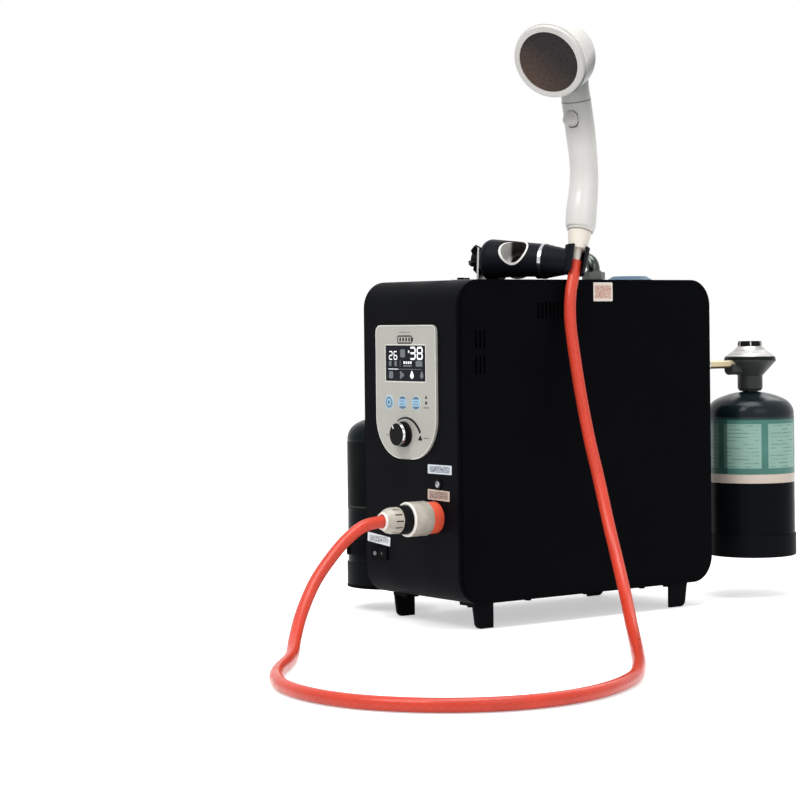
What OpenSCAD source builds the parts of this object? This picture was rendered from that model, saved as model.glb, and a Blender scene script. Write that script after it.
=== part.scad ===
// A portable heated shower: a sheet-metal water heater box that stands on plate feet, with a
// control face and a hose outlet in front, a handset in a bracket on top, a gas regulator and
// its cylinder behind, and a spare cylinder clipped to the left side.
// The casing's middle is the middle of every place below; the control face looks along -Y.

/* [Casing] */
// Width of the casing, over both side panels
case_w = 164; // [150:1:200]
// Length of the casing, from the control face to the gas face
case_l = 354; // [340:1:400]
// Height of the casing, without its feet
case_h = 332; // [326:1:400]
// Radius of the four rounded edges
case_r = 28; // [20:1:34]
// Thickness of the bent sheet
sheet = 1.6; // [1:0.1:2.5]
// Thickness of a side panel
panel_t = 3; // [2.5:0.5:5]
// Width of the step round a side panel's face
panel_step = 4.5; // [3:0.5:8]
// Thickness of a side panel's skin behind its raised face
panel_skin = 1.2; // [1:0.1:2]
// Depth of the flange that a side panel has inside the sheet
flange_d = 14; // [12:1:20]
// Height of the feet
foot_h = 27; // [20:1:40]
// Length of a foot
foot_l = 26; // [20:1:40]
// Thickness of a foot's plate
foot_t = 3.5; // [2:0.5:4]
// Distance from the casing's middle to a foot's inner end
foot_y = 124; // [110:1:126]
// Distance from the casing's middle to a foot's plate
foot_x = 66; // [60:1:68]
// Diameter of the small screws
screw_d = 4; // [3:0.5:5]

/* [Vents] */
// Width of a vent slot
slot_w = 2.3; // [1.5:0.1:3]
// Distance between two vent slots
slot_pitch = 5.3; // [4:0.1:7]
// Number of slots in the upper vent
slot_count = 8; // [3:1:10]
// Height of the upper vent's slots
slot_h = 18; // [10:1:24]
// Height of the front vent's slots
slot_low_h = 19; // [10:1:24]

/* [Control plate] */
// Width of the control plate
plate_w = 105; // [100:1:120]
// Height of the control plate
plate_h = 140; // [136:1:150]
// Height of the plate's upper edge above the ground
plate_top = 313; // [305:1:316]
// Thickness of the control plate
plate_t = 2.5; // [2:0.1:4]
// Radius of the plate's lower corners
plate_r = 43.5; // [30:0.5:50]
// Width of the display
lcd_w = 69; // [50:1:74]
// Height of the display
lcd_h = 37; // [25:1:40]
// Diameter of the three push buttons
button_d = 13; // [10:0.5:14]
// Distance between two push buttons
button_pitch = 23.4; // [20:0.1:25]
// How far a button stands out of the plate
button_out = 0.8; // [0.6:0.1:1.5]

/* [Knob] */
// Diameter of the knob at its foot
knob_d = 27; // [22:0.5:30]
// Height of the knob
knob_h = 14; // [11:0.5:18]
// Number of grip flutes
flute_count = 24; // [12:1:30]
// Diameter of the knob's shaft
shaft_d = 6; // [5:0.5:7]

/* [Sockets and switch] */
// Width of the switch frame
switch_w = 31; // [28:1:36]
// Height of the switch frame
switch_h = 14; // [12:0.5:18]
// Tilt of the rocker's two positions
rocker_tilt = 7; // [4:0.5:9]
// Bore of the power socket
socket_bore = 5.5; // [4:0.5:6]

/* [Click connector] */
// Diameter of the water outlet's spigot
spigot_d = 16; // [14:0.5:17]
// Diameter of the connector's body
conn_d = 35.5; // [34:0.5:40]
// Diameter of the release collar
collar_d = 33; // [32:0.5:33.5]
// Travel of the release collar
collar_travel = 4; // [2:0.5:4]
// Length of the connector's body
conn_l = 24; // [22:1:30]
// Length of the hose nut on the connector
conn_nut_l = 31; // [26:1:34]

/* [Hose] */
// Outer diameter of the hose
hose_d = 12.4; // [10:0.2:13]
// Number of sides of the hose
hose_sides = 10; // [8:1:12]

/* [Holder] */
// Height of the cup's middle above the casing
cup_rise = 18.4; // [18:0.1:24]
// Diameter of the holder's body at its clamp end
holder_d = 44.6; // [42:0.2:45]
// Diameter of the holder at its swivel
swivel_d = 37; // [34:0.5:38]
// Diameter of the rail bush
bush_d = 33; // [28:0.5:34]
// Wall of the rail bush
bush_wall = 2.2; // [1.5:0.1:3]
// Upper diameter of the cup
cup_d = 26.5; // [26:0.5:30]
// Height of the cup
cup_h = 29; // [26:1:34]
// Tilt of the cup and the handset
cup_tilt = 18; // [10:1:24]
// Width of the cup's slot
cup_slot = 13; // [12.8:0.1:15]

/* [Handset] */
// Diameter of the spray head's drum
head_d = 81.8; // [76:0.2:90]
// Depth of the spray head's drum
head_l = 33.6; // [28:0.2:38]
// Outer diameter of the ring round the spray plate
face_d = 78.2; // [74:0.2:80]
// Diameter of the spray plate
spray_d = 65.4; // [50:0.2:68]
// Downward tilt of the spray head
head_tilt = 26; // [20:1:30]
// Diameter of the pause button
pause_d = 16; // [12:0.5:18]

/* [Gas cylinders] */
// Diameter of a gas cylinder
gas_d = 99; // [96:1:102]
// Height of a cylinder's straight wall and dome above its foot ring
gas_h = 159.6; // [150:0.1:170]
// Height of the dome
dome_h = 26.6; // [24:0.1:32]
// Thickness of a cylinder's steel
gas_wall = 1.2; // [1:0.1:2]
// Height of the plastic foot ring
gas_foot_h = 25; // [20:1:30]
// Distance between the casing and the rear cylinder's axis
gas_gap = 103; // [90:1:120]
// Height of the pipe that carries the rear cylinder
pipe_z = 264; // [256:1:270]
// Diameter of that pipe
pipe_d = 9; // [8:0.5:10]

/* [Inlet and exhaust] */
// Width across the flats of the inlet's nut
inlet_nut_af = 22; // [20:1:26]
// Outer diameter of the inlet's threaded end
inlet_d = 20.9; // [18:0.1:22]
// Diameter of the exhaust cap
cap_d = 51; // [50:1:60]

/* [Heater] */
// Diameter of the fan housing
fan_d = 104; // [90:1:108]
// Air space on each side of the heat exchanger
exch_side = 24; // [23:1:32]
// Number of fins on the heat exchanger
fin_count = 12; // [6:1:14]
// Diameter of the water pipes
water_d = 14; // [10:0.5:14]

/* [Hidden] */
$fn = 72;

// Clearances
fit = 0.3;          // between a piece and its opening
run = 0.05;         // round a shaft in its bearing
hair = 0.1;         // between curved faces that rest on each other
eps = 0.01;         // overlap of cutting tools

// Casing
floor_z = foot_h;                   // underside of the casing
deck_z = floor_z + case_h;          // top of the casing
mid_z = floor_z + case_h / 2;
front_y = -case_l / 2;
rear_y = case_l / 2;
wrap_w = case_w - 2 * panel_t;      // width of the bent sheet
inner_z = floor_z + sheet;          // floor inside the casing

// Control plate and what it carries
plate_x = -4;
plate_z = plate_top - plate_h / 2;
lcd_z = 273;
buttons_x = -9.2;
buttons_z = 232;
lamp_x = 31.4;
lamps_z = [238.5, 232.3];
knob_x = -6.5;
knob_z = 199;
window_w = 92;
window_z = [219, 305];
board_depth = 8;                    // from the plate's back to the board
board_t = 1.6;
button_travel = 0.5;

// Small things on the control face
socket_x = case_w / 2 - 34.4;
socket_z = 149.2;
switch_x = 25 - case_w / 2;
switch_z = 71;
outlet_x = case_w / 2 - 40;
outlet_z = 115;

// Gas side
gas_x = case_w / 2 - 42;
gas_y = rear_y + gas_gap;
gas_bottom = 46;
gas_top = gas_bottom + gas_foot_h + gas_h;
knuckle_r = 20;
base_r = 12;                        // radius of a cylinder's bottom edge
spare_gap = 3;
spare_x = -case_w / 2 - spare_gap - gas_d / 2;
spare_y = -102.4;

// Holder and handset, from the cup's middle
cup_x = case_w / 2 + 2.5;
cup_y = -18.6;
cup_z = deck_z + cup_rise;
holder_turn = 28;                   // of the holder's axis from +X
holder_tilt = 2.4;                  // of the holder's axis, down towards the cup
body_from = -107;                   // the holder's body along its axis
body_to = -38;
stud_r = 3;                         // of the clamp knob's stud
swivel_stud_r = 6;                  // of the stud that the cup turns on
wing_h = 9.5;                       // height of the clamp knob
bush_at = -67;
bush_lift = 40;                     // of the bush's mouth above the level
bush_back = -11;
handset_turn = 6;                   // of the handset in the cup
cup_forward = 3.2;                  // of the cup's axis from the holder's axis
cup_top = 16;                       // along the cup's axis
nut_top = 33;
nut_low = 14;
nut_boss_r = 10.5;                  // of the nut's boss in the handle
stub_low = 1;
slot_turn = -46;                    // of the slot from the handset's side axis

// Spray head: the middle of its face in the handset's plane, forward and up from the cup
face_at = [60.2, 204.6];

// Inlet and exhaust
inlet_x = case_w / 2 - 42;
inlet_y = rear_y - 133.6;
exhaust_x = 0;
exhaust_y = rear_y - 45;
duct_d = cap_d - 3;

// Heater
fan_x = 0;
fan_y = rear_y - 82;
fan_z = 34;
fan_h = 36;
burner_z = fan_z + fan_h + 2;
burner_h = 28;
exch_z = burner_z + burner_h;
exch_w = case_w - 2 * exch_side;
exch_l = 126;
exch_h = 105;
hood_h = 25;
exch_y = fan_y + 3;
battery_y = front_y + 132;
valve_y = [rear_y - 32, rear_y - 4];
gas_line_y = (valve_y[0] + valve_y[1]) / 2;

// The middle of the outline, without the hose, over the origin
outline_x = [spare_x - gas_d / 2 - 1.5, cup_x + 58.95];
outline_y = [front_y - 73, gas_y + gas_d / 2 + 1.2];
case_x = -(outline_x[0] + outline_x[1]) / 2;
case_y = -(outline_y[0] + outline_y[1]) / 2;

// Route of the hose, chosen by hand, from the connector to the handset, from the casing's middle.
// It lies on the ground in a wide bow and rises to the cup in front of the right side.
lie = hose_d / 2 + hair;            // height of its middle where it lies
hose_route = [
    [42, -266, 112], [44, -287, 102], [50, -311, 86], [62, -341, 63], [82, -370, 38],
    [107, -395, 18], [135, -417, 8], [165, -443, lie], [200, -475, lie], [239, -503, lie],
    [284, -523, lie], [337, -529, lie], [390, -517, lie], [438, -483, lie], [469, -435, lie],
    [479, -380, lie], [468, -323, lie], [436, -264, lie], [390, -215, lie], [345, -175, lie],
    [300, -137, 10], [260, -106, 22], [222, -79, 44], [188, -59, 75], [162, -47, 109],
    [140, -40, 152], [123, -38, 195], [111, -38, 238], [102, -38.5, 280], [96, -38.5, 315],
    [92, -34.5, 342]];

// Places and turns

// From the middle of the casing
module at_case() translate([case_x, case_y, 0]) children();

// On the control face: x to the right, y up, z out of the face
module on_front(x, z) at_case() translate([x, front_y, z]) rotate([90, 0, 0]) children();

// On a side panel's inner face, 1 for the right side and -1 for the left: x rearwards, y up, z out
module on_right(side = 1) at_case() mirror([side > 0 ? 0 : 1, 0, 0])
    translate([case_w / 2 - panel_t, 0, 0]) rotate([90, 0, 90]) children();

// At the cup's middle, level: x along the holder's axis and y square to it, away from the spray face
module at_cup() at_case() translate([cup_x, cup_y, cup_z]) rotate([0, 0, holder_turn]) children();

// On the holder's axis, z along it from its clamp end to the cup
module on_holder() at_cup() rotate([0, 90 + holder_tilt, 0]) children();

// On the cup's axis, z up along it
module on_cup() at_cup() rotate([0, 0, -handset_turn]) translate([0, -cup_forward, 0])
    rotate([-cup_tilt, 0, 0]) children();

// At the middle of the spray face, z towards the back of the head
module on_face() at_cup() rotate([0, 0, -handset_turn]) translate([0, -face_at[0], face_at[1]])
    rotate([-90 + head_tilt, 0, 0]) children();

// Plain forms

// A rectangle about its middle, with its own radius for the upper and the lower corners
module rounded(w, h, top_r, low_r) {
    translate([-w / 2, low_r - h / 2]) square([w, h - top_r - low_r]);
    translate([top_r - w / 2, 0]) square([w - 2 * top_r, h / 2]);
    translate([low_r - w / 2, -h / 2]) square([w - 2 * low_r, h / 2]);
    for (s = [-1, 1]) {
        translate([s * (w / 2 - top_r), h / 2 - top_r]) circle(top_r);
        translate([s * (w / 2 - low_r), low_r - h / 2]) circle(low_r);
    }
}

// The casing's outline seen from the side, drawn in by a distance
module case_outline(inset = 0)
    rounded(case_l - 2 * inset, case_h - 2 * inset, case_r - inset, case_r - inset);

module tube(r, bore, h) difference() {
    cylinder(r = r, h = h);
    translate([0, 0, -eps]) cylinder(r = bore, h = h + 2 * eps);
}

module hexagon(af, h) cylinder(d = af / cos(30), h = h, $fn = 6);

// Vectors
function unit(a) = a / norm(a);
// The point a share t of the way from b to c on a smooth curve through a, b, c and d
function between(a, b, c, d, t) = 0.5 * (2 * b + t * (c - a)
    + t * t * (2 * a - 5 * b + 4 * c - d) + t * t * t * (3 * b - a - 3 * c + d));
// A smooth curve through all the points, with some steps from each to the next
function smooth(p, steps) = let (n = len(p) - 1) concat(
    [for (i = [0 : n - 1], s = [0 : steps - 1])
        between(p[max(i - 1, 0)], p[i], p[i + 1], p[min(i + 2, n)], s / steps)], [p[n]]);
// Turn a side vector so that it stays square to the next direction
function carried(side, along) = unit(side - (side * along) * along);

// Skin over rings of equal length, closed at both ends
module skin(rings) {
    n = len(rings[0]);
    m = len(rings);
    walls = [for (i = [0 : m - 2], j = [0 : n - 1]) let (k = (j + 1) % n) each [
        [i * n + j, i * n + k, (i + 1) * n + j], [i * n + k, (i + 1) * n + k, (i + 1) * n + j]]];
    low = [for (j = [1 : n - 2]) [0, j + 1, j]];
    high = [for (j = [1 : n - 2]) [for (k = [0, j, j + 1]) (m - 1) * n + k]];
    polyhedron(points = [for (r = rings) each r], faces = concat(walls, low, high));
}

// A round limb in the Y-Z plane through stations of [y, z, radius]
module limb(stations, steps, sides) {
    s = smooth(stations, steps);
    n = len(s) - 1;
    skin([for (i = [0 : n]) let (d = unit([for (k = [0, 1]) s[min(i + 1, n)][k] - s[max(i - 1, 0)][k]]))
        [for (j = [0 : sides - 1]) let (t = 360 * j / sides, r = s[i][2])
            [r * cos(t), s[i][0] - r * sin(t) * d[1], s[i][1] + r * sin(t) * d[0]]]]);
}

// Casing

// The two vents of a side panel, x towards the rear and y up from the ground
module vents() {
    for (i = [0 : slot_count - 1])
        translate([-71 + slot_pitch * i, deck_z - 41.5, 0])
            linear_extrude(3 * panel_t + flange_d, center = true)
                translate([slot_w / 2, 0]) vent_slot(slot_h);
    for (i = [0 : 2], row = [0, 1])
        translate([-153 + slot_pitch * i, deck_z - 97 + row * (slot_low_h + 7), 0])
            linear_extrude(3 * panel_t + flange_d, center = true) vent_slot(slot_low_h);
}

// One slot with round ends, its lower end on the X axis
module vent_slot(h) {
    translate([-slot_w / 2, slot_w / 2]) square([slot_w, h - slot_w]);
    for (y = [slot_w / 2, h - slot_w / 2]) translate([0, y]) circle(slot_w / 2, $fn = 16);
}

module casing_wrap() color("#1b1d21") difference() {
    at_case() translate([0, 0, mid_z]) rotate([90, 0, 90])
        linear_extrude(wrap_w, center = true) difference() {
            case_outline();
            case_outline(sheet);
        }
    // control face
    on_front(plate_x, (window_z[0] + window_z[1]) / 2)
        cube([window_w, window_z[1] - window_z[0], 20], center = true);
    on_front(knob_x, knob_z) cylinder(d = pot_nose_d + 2 * fit, h = 20, center = true);
    on_front(socket_x, socket_z) cylinder(d = socket_thread_d + fit, h = 20, center = true);
    on_front(outlet_x, outlet_z) cylinder(d = outlet_thread_d + fit, h = 20, center = true);
    on_front(switch_x, switch_z) cube([switch_w - 3, switch_h - 2, 20], center = true);
    // gas face
    at_case() translate([gas_x, rear_y, pipe_z]) rotate([90, 0, 0])
        cylinder(d = pipe_d + 2 * fit, h = 20, center = true);
    // top
    at_case() translate([inlet_x, inlet_y, deck_z]) cylinder(d = water_d + 2 * fit, h = 20, center = true);
    at_case() translate([exhaust_x, exhaust_y, deck_z]) cylinder(d = duct_d + 2 * fit, h = 20, center = true);
    tab_screws() cylinder(d = screw_d + fit, h = 20, center = true);
    // floor
    foot_screws() cylinder(d = screw_d + fit, h = 20, center = true);
    panel_screws() cylinder(d = screw_d + fit, h = 20, center = true);
    tray_screws() cylinder(d = screw_d + fit, h = 20, center = true);
    for (x = [-1, 0, 1], y = [0 : 4])
        at_case() translate([x * 36, fan_y - 36 + 18 * y, floor_z]) cube([28, 5, 20], center = true);
}

module side_panel(side) color("#16171a") difference() {
    union() {
        on_right(side) translate([0, mid_z, 0]) difference() {
            union() {
                linear_extrude(panel_t - 1) case_outline();
                linear_extrude(panel_t) case_outline(panel_step);
            }
            translate([0, 0, -eps]) linear_extrude(panel_t - panel_skin)
                case_outline(panel_step + panel_skin);
        }
        on_right(side) translate([0, mid_z, -flange_d]) linear_extrude(flange_d) difference() {
            case_outline(sheet + hair);
            case_outline(2 * sheet + hair);
        }
    }
    on_right(side) vents();
    // clear of the screws and the switch
    panel_screws() cylinder(d = screw_d + fit, h = 20, center = true);
    on_front(switch_x, switch_z) cube([switch_w + 2 * fit, switch_h + 2 * fit, 60], center = true);
    on_right(side) for (s = [-1, 1]) translate([s * (foot_y + foot_l / 2), floor_z, -flange_d - eps])
        linear_extrude(flange_d - 2) square([foot_l + 8, 10], center = true);
}

// Screws: each stands on its head, with the head's underside at z = 0 and the shank upwards
screw_head_h = 2.2;
screw_l = 7;
module screw() {
    translate([0, 0, -screw_head_h]) cylinder(d = 1.75 * screw_d, h = screw_head_h);
    translate([0, 0, -eps]) cylinder(d = screw_d, h = screw_l);
}
module foot_screws(out = 0) at_case() for (x = [-1, 1], y = [-1, 1], k = [0, 1])
    translate([x * (foot_x - 10), y * (foot_y + foot_l * (0.25 + 0.5 * k)), floor_z - out]) children();
module panel_screws() at_case() for (x = [-1, 1], y = [-80, 0, 80])
    translate([x * (case_w / 2 - panel_t - flange_d / 2), y, floor_z]) children();
module tray_screws(out = 0) at_case() for (y = [-12, 12])
    translate([-case_w / 2 + panel_t + flange_d + 10, spare_y + y, floor_z - out]) children();
module tab_screws(up = 0) at_cup() for (y = [-8, 8])
    translate([tab_from + 9, y, deck_z - cup_z + up]) children();

module screws() color("#3a3c40") {
    foot_screws(foot_t) screw();
    panel_screws() screw();
    tray_screws(tray_t) screw();
    tab_screws(tab_t) mirror([0, 0, 1]) screw();
}

// A foot: an upright plate with a rounded outer corner, and a flange under the casing
module foot() {
    taper = 3;
    r = 7;
    corner = foot_l - taper - r;
    translate([foot_t, 0, 0]) rotate([90, 0, -90]) mirror([1, 0, 0]) linear_extrude(foot_t) {
        polygon([[0, 0], [corner, 0], [corner, r], [corner + r, r], [foot_l, foot_h], [0, foot_h]]);
        translate([corner, r]) circle(r);
    }
    difference() {
        translate([-20, 0, foot_h - foot_t]) cube([20 + foot_t, foot_l, foot_t]);
        for (k = [0.25, 0.75]) translate([-10, foot_l * k, foot_h - foot_t - eps])
            cylinder(d = screw_d + fit, h = 2 * foot_t);
    }
}
module feet() color("#111214") at_case() for (x = [0, 1], y = [0, 1])
    mirror([x, 0, 0]) mirror([0, y, 0]) translate([foot_x, foot_y, 0]) foot();

// Control plate

module plate_outline(inset = 0)
    rounded(plate_w - 2 * inset, plate_h - 2 * inset, 8 - inset, plate_r - inset);

module at_buttons(k) on_front(buttons_x + (k - 1) * button_pitch, buttons_z) children();

module control_plate() color("#b9bab4") difference() {
    on_front(plate_x, plate_z) {
        linear_extrude(plate_t - 0.8) plate_outline();
        linear_extrude(plate_t) plate_outline(1.2);
    }
    on_front(plate_x, lcd_z) cube([lcd_w + fit, lcd_h + fit, 20], center = true);
    for (k = [0 : 2]) at_buttons(k) cylinder(d = button_d + 2 * fit, h = 20, center = true);
    on_front(knob_x, knob_z) cylinder(d = pot_nose_d + 2 * fit, h = 20, center = true);
    for (z = lamps_z) on_front(lamp_x, z) cylinder(d = 2, h = 20, center = true, $fn = 24);
}

module display() color("#10141c") on_front(plate_x, lcd_z)
    translate([0, 0, -board_depth]) linear_extrude(board_depth + plate_t - 0.3)
        square([lcd_w, lcd_h], center = true);

// A push button: its cap in the plate, a collar behind the plate and a stem to its switch
module push_button(k) color("#3f7fb5") at_buttons(k) {
    translate([0, 0, -hair - 1.2]) cylinder(d = button_d + 3, h = 1.2);
    translate([0, 0, -hair - eps]) cylinder(d = button_d, h = plate_t + button_out + hair);
    translate([0, 0, switch_top + button_travel + hair - board_depth])
        cylinder(d = 4, h = board_depth - switch_top - button_travel - 2 * hair - 1);
}
switch_top = 3.6;                   // of a push switch over the board
module button_1() push_button(0);
module button_2() push_button(1);
module button_3() push_button(2);

module control_board() color("#1f6b3a") {
    on_front(plate_x, (window_z[0] + window_z[1]) / 2)
        translate([0, 0, -board_depth - board_t]) linear_extrude(board_t)
            square([window_w - 4, window_z[1] - window_z[0] - 4], center = true);
    // push switches, each under its button
    for (k = [0 : 2]) at_buttons(k) translate([0, 0, -board_depth - eps]) {
        linear_extrude(switch_top - 1.2) square(6, center = true);
        cylinder(d = 3.4, h = switch_top);
    }
    // standoffs to the plate, and the lamps
    for (x = [-1, 1], z = [window_z[0] + 6, window_z[1] - 6])
        on_front(plate_x + x * (window_w / 2 - 6), z)
            translate([0, 0, -board_depth - eps]) cylinder(d = 6, h = board_depth + eps);
    for (z = lamps_z) on_front(lamp_x, z)
        translate([0, 0, -board_depth - eps]) cylinder(d = 1.7, h = board_depth + plate_t, $fn = 24);
}

// Knob and its shaft

ring_h = 1.6;
module knob() color("#131315") on_front(knob_x, knob_z) translate([0, 0, plate_t + 0.5]) difference() {
    union() {
        cylinder(d = knob_d, h = 2);
        cylinder(d1 = knob_d - 1.2, d2 = knob_d - 2.5, h = knob_h - ring_h);
        translate([0, 0, knob_h - ring_h - eps]) cylinder(d = knob_d - 7, h = ring_h - 0.4);
    }
    for (i = [0 : flute_count - 1]) rotate(360 / flute_count * i)
        translate([knob_d / 2 - 0.4, 0, 2.6]) cylinder(d = 1.8, h = knob_h, $fn = 16);
    translate([0, 0, -eps]) cylinder(d = shaft_d + run, h = knob_h - 4);
    translate([0, 0, -eps]) cylinder(d = knob_d - 6, h = 2.6);
    // pointer
    translate([-0.7, knob_d / 2 - 8.5, knob_h - 1]) cube([1.4, 5, 2]);
}

module knob_ring() color("#d9dadc") on_front(knob_x, knob_z)
    translate([0, 0, plate_t + 0.5 + knob_h - ring_h]) rotate_extrude()
        polygon([[knob_d / 2 - 3.45, 0], [knob_d / 2 - 1.2, 0], [knob_d / 2 - 1.5, ring_h * 0.7],
            [knob_d / 2 - 2.2, ring_h], [knob_d / 2 - 3.45, ring_h * 0.8]]);

pot_nose_d = 10;                    // threaded nose of the potentiometer
module knob_shaft() color("#c9c9c9") on_front(knob_x, knob_z)
    translate([0, 0, -12]) cylinder(d = shaft_d, h = 12 + plate_t + 0.5 + knob_h - 4.5);

module potentiometer() color("#8c8f94") on_front(knob_x, knob_z) difference() {
    union() {
        translate([0, 0, -sheet - 14]) cylinder(d = 24, h = 14);
        translate([0, 0, -sheet - eps]) cylinder(d = pot_nose_d, h = sheet + 1.5);
        translate([-4, -22, -sheet - 13]) cube([8, 12, 1.6]);
    }
    translate([0, 0, -12.3]) cylinder(d = shaft_d + 2 * run, h = 20);
}

// Switch

rocker_w = switch_w - 9;            // along X
rocker_h = switch_h - 4.4;
rocker_pivot = -2.2;                // of the pivot from the control face

module switch_frame() color("#17181a") on_front(switch_x, switch_z) difference() {
    union() {
        linear_extrude(2) rounded(switch_w, switch_h, 2, 2);
        translate([0, 0, -16]) linear_extrude(16 + eps)
            square([switch_w - 3.6, switch_h - 2.6], center = true);
        for (x = [-8, 8]) translate([x, 0, -22]) linear_extrude(7) square([0.8, 5], center = true);
    }
    translate([0, 0, -12]) linear_extrude(20)
        square([rocker_w + 2 * fit + 0.4, rocker_h + 2 * fit], center = true);
    translate([0, 0, rocker_pivot]) rotate([90, 0, 0])
        cylinder(d = 2.4 + 2 * run, h = switch_h - 1.5, center = true);
}

// The rocker at rest, pressed at its right: round ends about the pivot and a shallow V on top
module rocker() color("#101113") on_front(switch_x, switch_z) translate([0, 0, rocker_pivot])
    rotate([0, rocker_tilt, 0]) {
        rotate([90, 0, 0]) linear_extrude(rocker_h, center = true) intersection() {
            circle(rocker_w / 2);
            polygon([[-rocker_w, -4], [rocker_w, -4], [rocker_w, 3.4 + rocker_w * tan(rocker_tilt)],
                [0, 3.4], [-rocker_w, 3.4 + rocker_w * tan(rocker_tilt)]]);
        }
        rotate([90, 0, 0]) cylinder(d = 2.4, h = rocker_h + 2.2, center = true);
    }

socket_thread_d = 8;
module dc_socket() color("#c4c6c8") on_front(socket_x, socket_z) difference() {
    union() {
        cylinder(d = 10.5, h = 1.6);
        translate([0, 0, -13]) cylinder(d = socket_thread_d, h = 13 + eps);
        translate([0, 0, -sheet - 2.4]) hexagon(10.5, 2.4);
        for (x = [-2, 2]) translate([x - 0.4, -1.5, -19]) cube([0.8, 3, 6 + eps]);
    }
    translate([0, 0, -8.4]) cylinder(d = socket_bore, h = 20);
}

// Water outlet and click connector; z runs out of the control face

outlet_thread_d = 20;
flange_t = 2;
shell_z = 11;                       // face of the connector's outer shell
body_end = shell_z + conn_l;
ring_l = 7;
ring_r = 15;
neck_r = 10.5;                      // of the body's neck in the ring and the nut
neck_l = 12;                        // of that neck in the nut
conn_nut_r = 13.75;
nose_r = spigot_d / 2 + 4.5;        // the connector's nose round the spigot
collar_in = nose_r + fit;
collar_l = 11.5;
collar_z = flange_t + 0.4;          // foot of the collar
shell_wall_z = collar_z + collar_l + collar_travel + 1.1;   // floor of the collar's recess

module outlet_fitting() color("#b58a4a") on_front(outlet_x, outlet_z) difference() {
    union() {
        cylinder(d = 30, h = flange_t);
        translate([0, 0, -18]) cylinder(d = outlet_thread_d, h = 18 + eps);
        translate([0, 0, -sheet - 5]) hexagon(27, 5);
        rotate_extrude() difference() {
            translate([0, flange_t - eps]) square([spigot_d / 2, 24]);
            translate([spigot_d / 2 + 0.6, flange_t + 12]) circle(2);
            translate([spigot_d / 2 + 0.2, flange_t + 18]) circle(1.1);
        }
    }
    translate([0, 0, -20]) cylinder(d = 9, h = 60);
}

module connector_collar() color("#e8502c") on_front(outlet_x, outlet_z)
    translate([0, 0, collar_z]) difference() {
        rotate_extrude() difference() {
            translate([collar_in, 0]) square([collar_d / 2 - collar_in, collar_l]);
            translate([collar_d / 2 + 1, 4.5]) circle(2);
        }
        for (i = [0 : 23]) rotate(15 * i) translate([collar_d / 2 + 0.3, 0, -eps])
            cylinder(d = 1.4, h = 2.6, $fn = 16);
    }

module connector_body() color("#b7b1a6") on_front(outlet_x, outlet_z) difference() {
    union() {
        translate([0, 0, flange_t + 0.8]) cylinder(r = nose_r, h = body_end - flange_t - 0.8);
        difference() {
            rotate_extrude() {
                translate([0, shell_z]) square([conn_d / 2 - 1.5, conn_l]);
                translate([0, shell_z + 1.5]) square([conn_d / 2, conn_l - 3]);
                for (y = [1.5, conn_l - 1.5]) translate([conn_d / 2 - 1.5, shell_z + y]) circle(1.5);
            }
            translate([0, 0, shell_z - eps]) cylinder(r = collar_d / 2 + fit, h = shell_wall_z - shell_z);
            // grip grooves
            for (i = [0 : 5]) translate([0, 0, shell_z + 6 + 2.6 * i])
                rotate_extrude() translate([conn_d / 2 + 0.55, 0]) circle(1, $fn = 24);
        }
        translate([0, 0, body_end - eps]) cylinder(r = neck_r, h = ring_l + neck_l);
        translate([0, 0, body_end + ring_l + neck_l - 2 * eps]) cylinder(r = hose_d / 2 - 2, h = 8);
    }
    translate([0, 0, -eps]) cylinder(r = spigot_d / 2 + hair, h = flange_t + 24.5);
    translate([0, 0, -eps]) cylinder(r = 3, h = 90);
}

module connector_ring() color("#17181a") on_front(outlet_x, outlet_z)
    translate([0, 0, body_end]) rotate_extrude() difference() {
        translate([neck_r + hair, 0]) square([ring_r - neck_r - hair, ring_l]);
        for (y = [0, ring_l]) translate([ring_r + 0.3, y]) circle(1.4);
    }

// The nut that grips the hose: a cap with slots and a tapered end
module connector_nut() color("#b7b1a6") on_front(outlet_x, outlet_z)
    translate([0, 0, body_end + ring_l]) difference() {
        union() {
            cylinder(r = conn_nut_r, h = neck_l);
            translate([0, 0, neck_l - eps])
                cylinder(r1 = conn_nut_r, r2 = 9, h = conn_nut_l - neck_l + eps);
        }
        translate([0, 0, -eps]) cylinder(r = neck_r + hair, h = neck_l + 2 * hair);
        translate([0, 0, neck_l]) cylinder(r = hose_d / 2 - 2 + hair, h = conn_nut_l);
        for (i = [0 : 15]) rotate(22.5 * i) translate([conn_nut_r + 0.15, 0, 2]) rotate([0, -5, 0])
            cylinder(d = 2.6, h = conn_nut_l, $fn = 16);
    }

// Hose

// A point at a height on the cup's axis
function cup_point(t) = let (out = cup_forward - t * sin(cup_tilt), turn = holder_turn - handset_turn)
    [cup_x + out * sin(turn), cup_y - out * cos(turn), cup_z + t * cos(cup_tilt)];
hose_start = [outlet_x, front_y - body_end - ring_l - conn_nut_l, outlet_z];
hose_points = smooth(concat([hose_start], hose_route, [cup_point(-14), cup_point(stub_low)]), 2);

// Rings square to the route, each side vector carried on from the one before
module hose() color("#d95648") at_case() {
    p = hose_points;
    n = len(p) - 1;
    along = [for (i = [0 : n]) i == 0 ? [0, -1, 0] : i == n ? unit(cup_point(1) - cup_point(0))
        : unit(p[i + 1] - p[i - 1])];
    side = [for (i = 0, s = [1, 0, 0]; i <= n; i = i + 1, s = i <= n ? carried(s, along[i]) : s) s];
    skin([for (i = [0 : n]) let (u = side[i], w = cross(along[i], u))
        [for (j = [0 : hose_sides - 1]) let (t = 360 * j / hose_sides)
            p[i] + hose_d / 2 * (cos(t) * u - sin(t) * w)]]);
}

// Holder

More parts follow.
